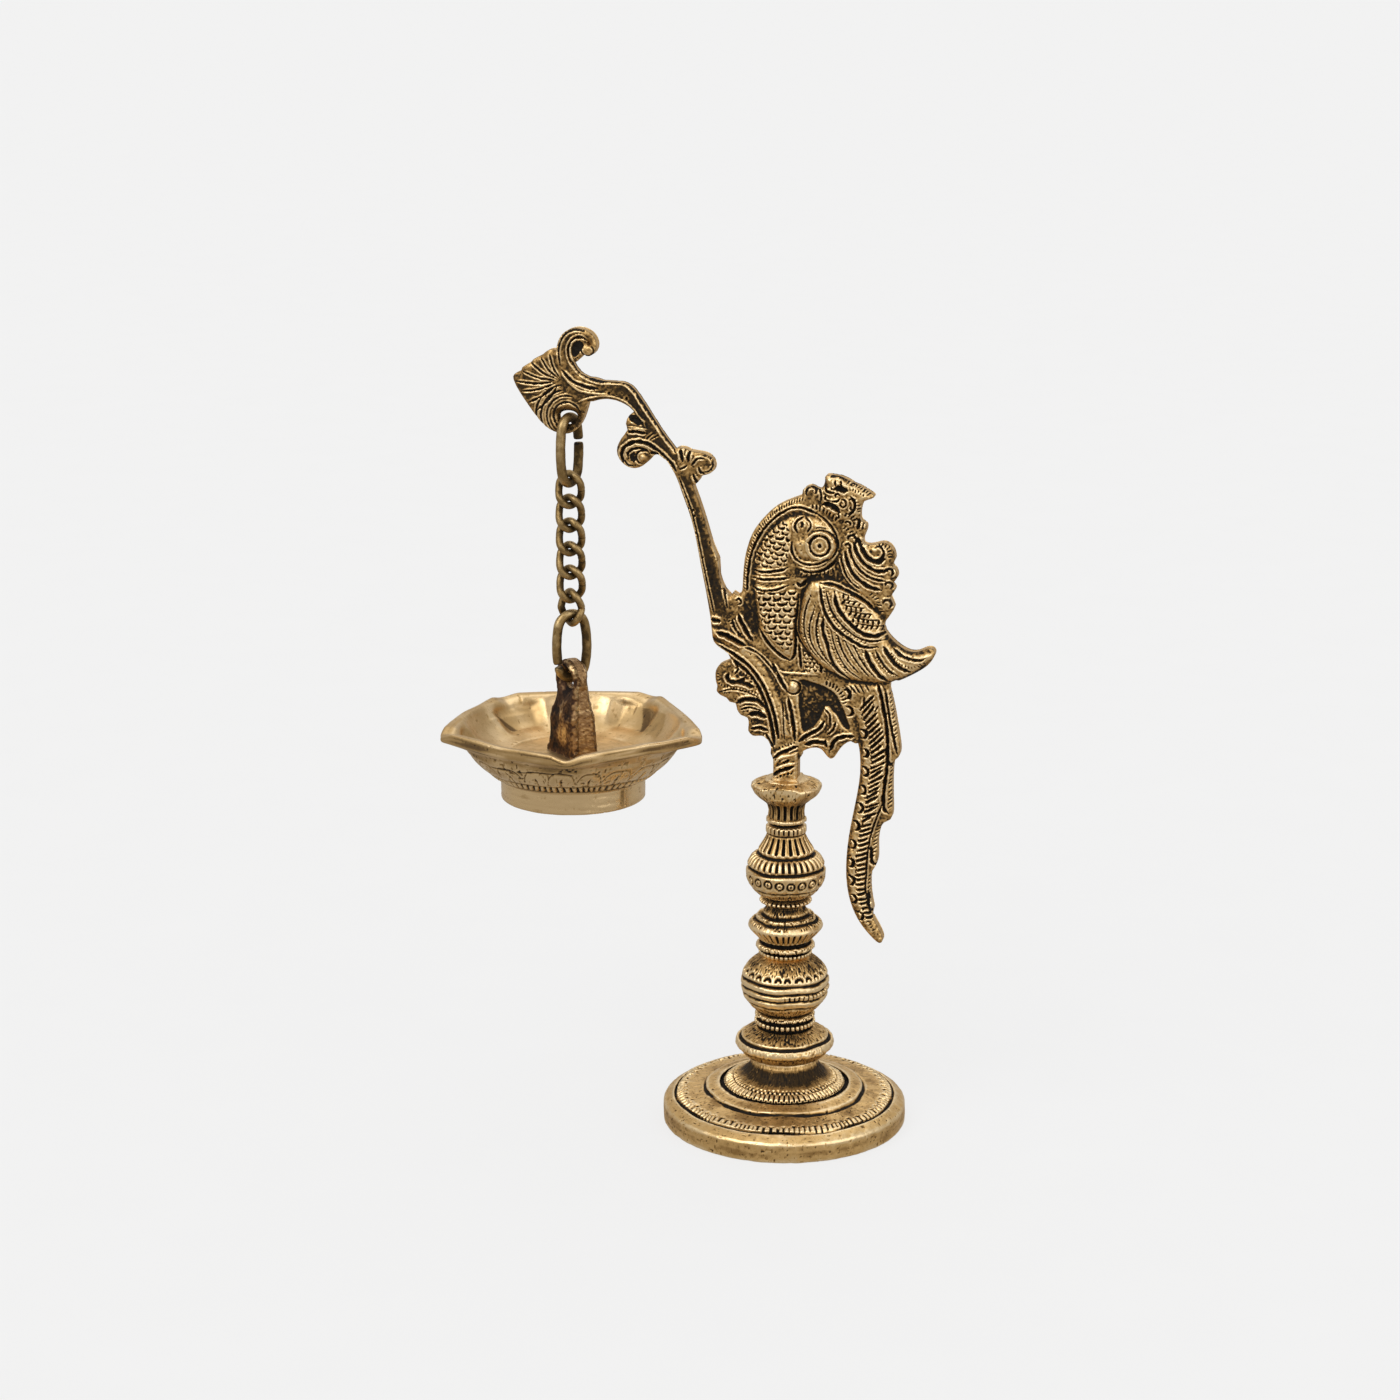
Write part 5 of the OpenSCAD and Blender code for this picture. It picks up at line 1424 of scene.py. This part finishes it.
BOWL_INSIDE = [
    [(28, 1, 2, RIM_Z - 0.15), (27.8, 0.75, 2.4, RIM_Z - 0.6), (27.4, 0.35, 3, RIM_Z - 1.4),
     (26, 0.1, 3, RIM_Z - 3.3), (23.8, 0, 0, RIM_Z - 5.8), (20.5, 0, 0, RIM_Z - 7.8), (16.5, 0, 0, FLOOR_Z)],
    [(16.5, 0, 0, FLOOR_Z), (0.02, 0, 0, FLOOR_Z)],
]
BOWL_UNDER = [
    [(0.02, 0, 0, FOOT_Z + 8.4), (FOOT_R - 3.4, 0, 0, FOOT_Z + 8)],
    [(FOOT_R - 3.4, 0, 0, FOOT_Z + 8), (FOOT_R - 2.6, 0, 0, FOOT_Z)],
]


def bowl_piece():
    """The five-wick bowl: rim, engraved outside, foot, and a polished inside with a scoop to each corner."""
    columns = 560
    theta = np.linspace(0, 2 * math.pi, columns, endpoint=False)[None, :]
    below = profile_of(BOWL_UNDER, 1.2)
    line = section_line(below, profile_of(BOWL_OUTSIDE, 0.36), profile_of(BOWL_INSIDE, 0.55))
    rim, from_corner = rim_r(theta)
    flat_r, share, inset, z = (line[:, k : k + 1] for k in range(4))
    r = flat_r * (1 - share) + share * (rim - inset)
    soft = round_lumps(r.shape)
    z = z + 0 * r
    top = np.argmax(line[:, 3])
    inside = (np.arange(len(line)) > top + 4)[:, None]
    on_floor = inside & (z <= FLOOR_Z + 0.02)
    row = np.arange(len(line))[:, None]
    under = row < len(below) - 1
    outside = (row <= top) & ~under
    depth = RIM_Z - z
    up = z - FOOT_Z
    # The channel towards each corner, the soft folds beside it and the long dents of the walls
    scoop = inside * (1 - fade(from_corner, 9, 18)) * band(depth, 1.4, 7.2, 1)
    fold = inside * (1 - fade(np.abs(from_corner - 19), 0.5, 5)) * band(depth, 1, 6.4, 1)
    dent = inside * (1 - on_floor) * soft(34)
    # The engraved band between foot and rim: a hatched ring, then upright petals
    uneven = theta + 0.04 * soft(24)
    wave = 0.35 * soft(40)
    patchy = 0.65 + 0.5 * soft(30)
    cut = 0.85 * ring_cut(up + 0.5 * wave, 6.2, 0.8) * patchy
    cut = cut + 0.9 * ring_cut(up + 0.5 * wave, 8.3, 0.8) * patchy
    cut = cut + 1.0 * band(up, 6.5, 8) * notches(uneven, 84, 0.5) * patchy
    cut = cut + 0.6 * ring_cut(up + 1.6 * wave, 12.9, 0.6) * patchy * fade(soft(20), -0.4, 0.2)
    petal = uneven * 22 / (2 * math.pi)
    across = (petal - np.round(petal)) * 2
    arch = 9.4 + 3.8 * (1 - across**4)
    cut = cut + 0.36 * (1 - fade(np.abs(up - arch + wave), 0.1, 0.5)) * band(up, 8.8, 13.6) * patchy
    cut = cut + 0.45 * (1 - fade(np.abs(across), 0.03, 0.1)) * band(up, 8.8, 11.4) * patchy
    cut = cut + 0.7 * (1 - fade(np.hypot(across * 3.4, up - 10.4 - wave), 0.2, 0.55)) * patchy
    pits = fade(soft(2.4), 0.45, 0.9)
    cut = cut + 0.4 * pits * band(up, 8.4, 16, 0.6) * patchy
    cut = cut * outside + 0.1 * fade(soft(3), 0.7, 0.95) * (1 - under)
    brushed = 0.05 * soft(1.5, 14) * outside * (1 - band(up, 5.4, 16.4))
    fine = 0.012 * np.sin(r * 9 + soft(30)) * on_floor
    raised = -cut + fine + brushed + 0.02 * soft(8) + 0.14 * dent + 0.15 * fold
    raised = raised * fade(r, 1, 8) * (1 - under)
    slope_r = np.gradient(r, axis=0)
    slope_z = np.gradient(z, axis=0)
    length = np.maximum(np.hypot(slope_r, slope_z), 1e-6)
    on_lip = band(depth, -0.5, 3.2, 0.5)
    worn_back = 0.25 * on_lip * fade(soft(44), 0, 1)
    radius = np.maximum(r + raised * slope_z / length + 1.3 * scoop - worn_back, 0.01)
    lip = 0.45 * np.minimum(lumps((1, columns), 40, True), 0.3) * band(depth, -0.5, 3.4, 0.4)
    spout = 1.0 * (1 - fade(from_corner, 0, 8)) * band(depth, -0.5, 1.8, 0.5)
    height = np.minimum(z - raised * slope_r / length - 1.1 * scoop + lip - spout, RIM_Z)
    points = np.stack([radius * np.cos(theta) + CHAIN_X, radius * np.sin(theta), height], 2)
    tone = 0.06 * inside + 0.02 * band(depth, -0.2, 2.6) + 0.3 * (1 - fade(up, 5.2, 5.6)) * outside
    # Painted shade darkens the scoops inside
    tone = tone - 0.1 * scoop + 0.14 * outside * band(up, 6, 16.6, 0.4) + 0.12 * soft(16)
    tone = tone + 0.18 * soft(1.6, 12) * outside * (1 - band(up, 5.4, 16.4))
    streak = 1 - fade(np.abs(theta - STREAK_AT) * FOOT_R, 0.35, 1)
    tone = tone - 0.45 * streak * outside * band(up, 0.5, 5.3, 0.4)
    smear = fade(soft(5, 6), -0.1, 0.7)
    tone = tone - 0.3 * smear * outside * band(depth, 0.6, 3.6, 0.3)
    # Painted shadow, in patches, on the band just below the overhanging lip
    tone = tone - 0.3 * fade(soft(12, 4), 0, 0.5) * outside * band(depth, 4, 6.2, 0.5)
    # Painted dark reflections and shadow lines on the walls inside, each round its bearing
    for bearing, spread, dark in DARK_REFLECTIONS_AND_SHADOWS:
        away = np.abs((np.degrees(theta) - bearing + 540 + 2 * depth) % 360 - 180)
        tone = tone - dark * inside * (1 - fade(away, spread - 1, spread + 0.6)) * band(depth, 1.9, 6.8, 0.3)
    # Painted shade darkens the underside inside the foot
    tone = tone * fade(r, 3, 14) * (1 - under) - 0.14 * under
    worn = wear_of(raised, 0.36, True) + tone + 0.08 - 0.5 * cut
    piece_from("Bowl_five_wick", points.reshape(-1, 3), grid_faces(len(line), columns), "bowl", "oil_bowl",
               polished, worn.ravel())


bowl_piece()


def lug_piece():
    """The rough cast lug: a pitted plate with a pointed arch top, thickened where it meets the floor."""
    yaw = math.radians(LUG_YAW)
    way = np.array([math.cos(yaw), math.sin(yaw)])
    side = np.array([-math.sin(yaw), math.cos(yaw)])
    loops = loops_at("bowl_lug", (CHAIN_X * MM, 0, 0), (side[0], side[1], 0))
    flat = [np.stack([(loop[:, :2] - [CHAIN_X, 0]) @ way, loop[:, 2]], 1) for loop in loops]
    low = np.min(np.vstack(flat), 0)
    high = np.max(np.vstack(flat), 0)
    lug = Relief(low - 1, high + 1, LUG_PITCH)
    x, z = lug.x[None, :], lug.z[:, None]
    thick = 2.2 + 1.5 * (1 - fade(z + 0.12 * np.abs(x), LUG_HOLE_Z - 11.5, LUG_HOLE_Z - 2.6))
    thick = thick + 0.34 * lug.lumps(3.6) + 0.1 * lug.lumps(1.3)
    thick = thick + 0.07 * lug.lumps(0.5)
    edge = np.maximum(lug.edge_of(flat, 1.6, 1.6), 1 - fade(z, FLOOR_Z + 0.6, FLOOR_Z + 2))
    from_hole = np.hypot(x, z - LUG_HOLE_Z)
    smooth_patch = 1 - fade(np.hypot((x - 0.6) / 3.2, (z - FLOOR_Z - 5.6) / 3.6), 0.4, 1.1)
    arch = fade(z, LUG_HOLE_Z - 3, LUG_HOLE_Z) * fade(lug.lumps(0.5), -0.3, 0.5)
    worn = wear_of(thick, LUG_PITCH) - 0.1 + 0.08 * lug.lumps(3.4) + 0.16 * (1 - edge)
    # Painted shade darkens the metal round the lug's hole
    worn = worn + 0.36 * smooth_patch + 0.2 * arch - 0.3 * (1 - fade(from_hole, 2.4, 3.2))
    worn = worn - 0.1 * fade(-x, 0, 3)
    thick = thick - 1.5 * rounding(edge)
    thick = np.minimum(thick, np.where(from_hole < 4.6, 0.6 + (from_hole - 2.3) / 1.1, 9))
    thick = np.clip(thick, 0.6, 3.7)
    points, faces, wear = relief_mesh(flat, lug, thick, worn, 0.3, 0.3, 9, LUG_WALL_ROWS)
    wall_points = (LUG_WALL_ROWS - 1) * sum(len(resampled(loop, RIM_STEP)) for loop in flat)
    on_wall = np.arange(len(points)) >= len(points) - wall_points
    bulge = np.where(on_wall, 0.16 * draws.uniform(-1, 1, len(points)), 0)
    wear = wear + np.where(on_wall, 0.12 * draws.uniform(-1, 1, len(points)), 0)
    x = points[:, 0] + bulge * np.sign(points[:, 0]) * 0.6
    points = on_chain(np.stack([x, points[:, 1], points[:, 2]], 1), LUG_YAW, 0)
    piece_from("Lug_rough_cast", points, faces, "bowl", "bowl_lug", rough_cast, wear)


lug_piece()


# ---------------------------------------------------------------- the stage


def floor_material():
    """A plain pale ground with a faint unevenness. Its own light keeps the lamp's shadow faint."""
    material = bpy.data.materials.new("pale_ground")
    material.use_nodes = True
    tree = material.node_tree
    place = tree.nodes.new("ShaderNodeTexCoord").outputs["Object"]
    speckle = tree.nodes.new("ShaderNodeTexNoise")
    fill(tree, speckle, {"Scale": 40, "Vector": place})
    fill(tree, tree.nodes["Principled BSDF"], {
        "Base Color": colours_over(tree, speckle.outputs["Fac"], [(0, (0.095,) * 3), (1, (0.105,) * 3)]),
        "Roughness": 1,
        "Specular IOR Level": 0,
        "Emission Color": (1, 1, 1, 1),
        "Emission Strength": 0.77,
    })
    return material


def ground_plane():
    """A floor large enough to fill the whole picture."""
    reach = 40
    mesh = bpy.data.meshes.new("Ground")
    corners = [(-reach, -reach, 0), (reach, -reach, 0), (reach, reach, 0), (-reach, reach, 0)]
    mesh.from_pydata(corners, [], [(0, 1, 2, 3)])
    ground = bpy.data.objects.new("Ground", mesh)
    ground.data.materials.append(floor_material())
    ground.visible_glossy = False
    bpy.context.scene.collection.objects.link(ground)


def sky():
    """A soft sky, dark below the horizon and pale overhead, for the brass to mirror."""
    world = bpy.data.worlds.new("Studio")
    world.use_nodes = True
    tree = world.node_tree
    split = tree.nodes.new("ShaderNodeSeparateXYZ")
    fill(tree, split, {"Vector": tree.nodes.new("ShaderNodeTexCoord").outputs["Generated"]})
    lift = tree.nodes.new("ShaderNodeMapRange")
    fill(tree, lift, {"From Min": -0.6, "Value": split.outputs["Z"]})
    stops = [(0, (0.42, 0.385, 0.34)), (0.9, (0.62, 0.61, 0.6))]
    colour = colours_over(tree, lift.outputs["Result"], stops)
    fill(tree, tree.nodes["Background"], {"Color": colour})
    bpy.context.scene.world = world


def soft_light(name, bearing, rise, spread, strength):
    """A broad distant light. bearing is degrees left of the front and rise degrees above the floor."""
    light = bpy.data.lights.new(name, "SUN")
    light.angle = math.radians(spread)
    light.energy = strength
    lamp = bpy.data.objects.new(name, light)
    a, b = math.radians(bearing), math.radians(rise)
    toward = Vector((-math.sin(a) * math.cos(b), -math.cos(a) * math.cos(b), math.sin(b)))
    lamp.rotation_euler = toward.to_track_quat("Z", "Y").to_euler()
    bpy.context.scene.collection.objects.link(lamp)


ground_plane()
sky()
soft_light("Key", 30, 45, 50, 1.35)
soft_light("Fill", -60, 25, 60, 0.8)
soft_light("Over", 170, 65, 60, 0.6)

camera = bpy.data.objects.new("Camera", bpy.data.cameras.new("Camera"))
camera.data.lens = 79.7
camera.data.sensor_width = 36
camera.data.clip_end = 200
camera.location = (0.13632, -0.74413, 0.31599)
camera.rotation_euler = (math.radians(90 - 15.04), 0, math.radians(12.05))
bpy.context.scene.collection.objects.link(camera)
bpy.context.scene.camera = camera
bpy.context.scene.view_settings.view_transform = "Standard"
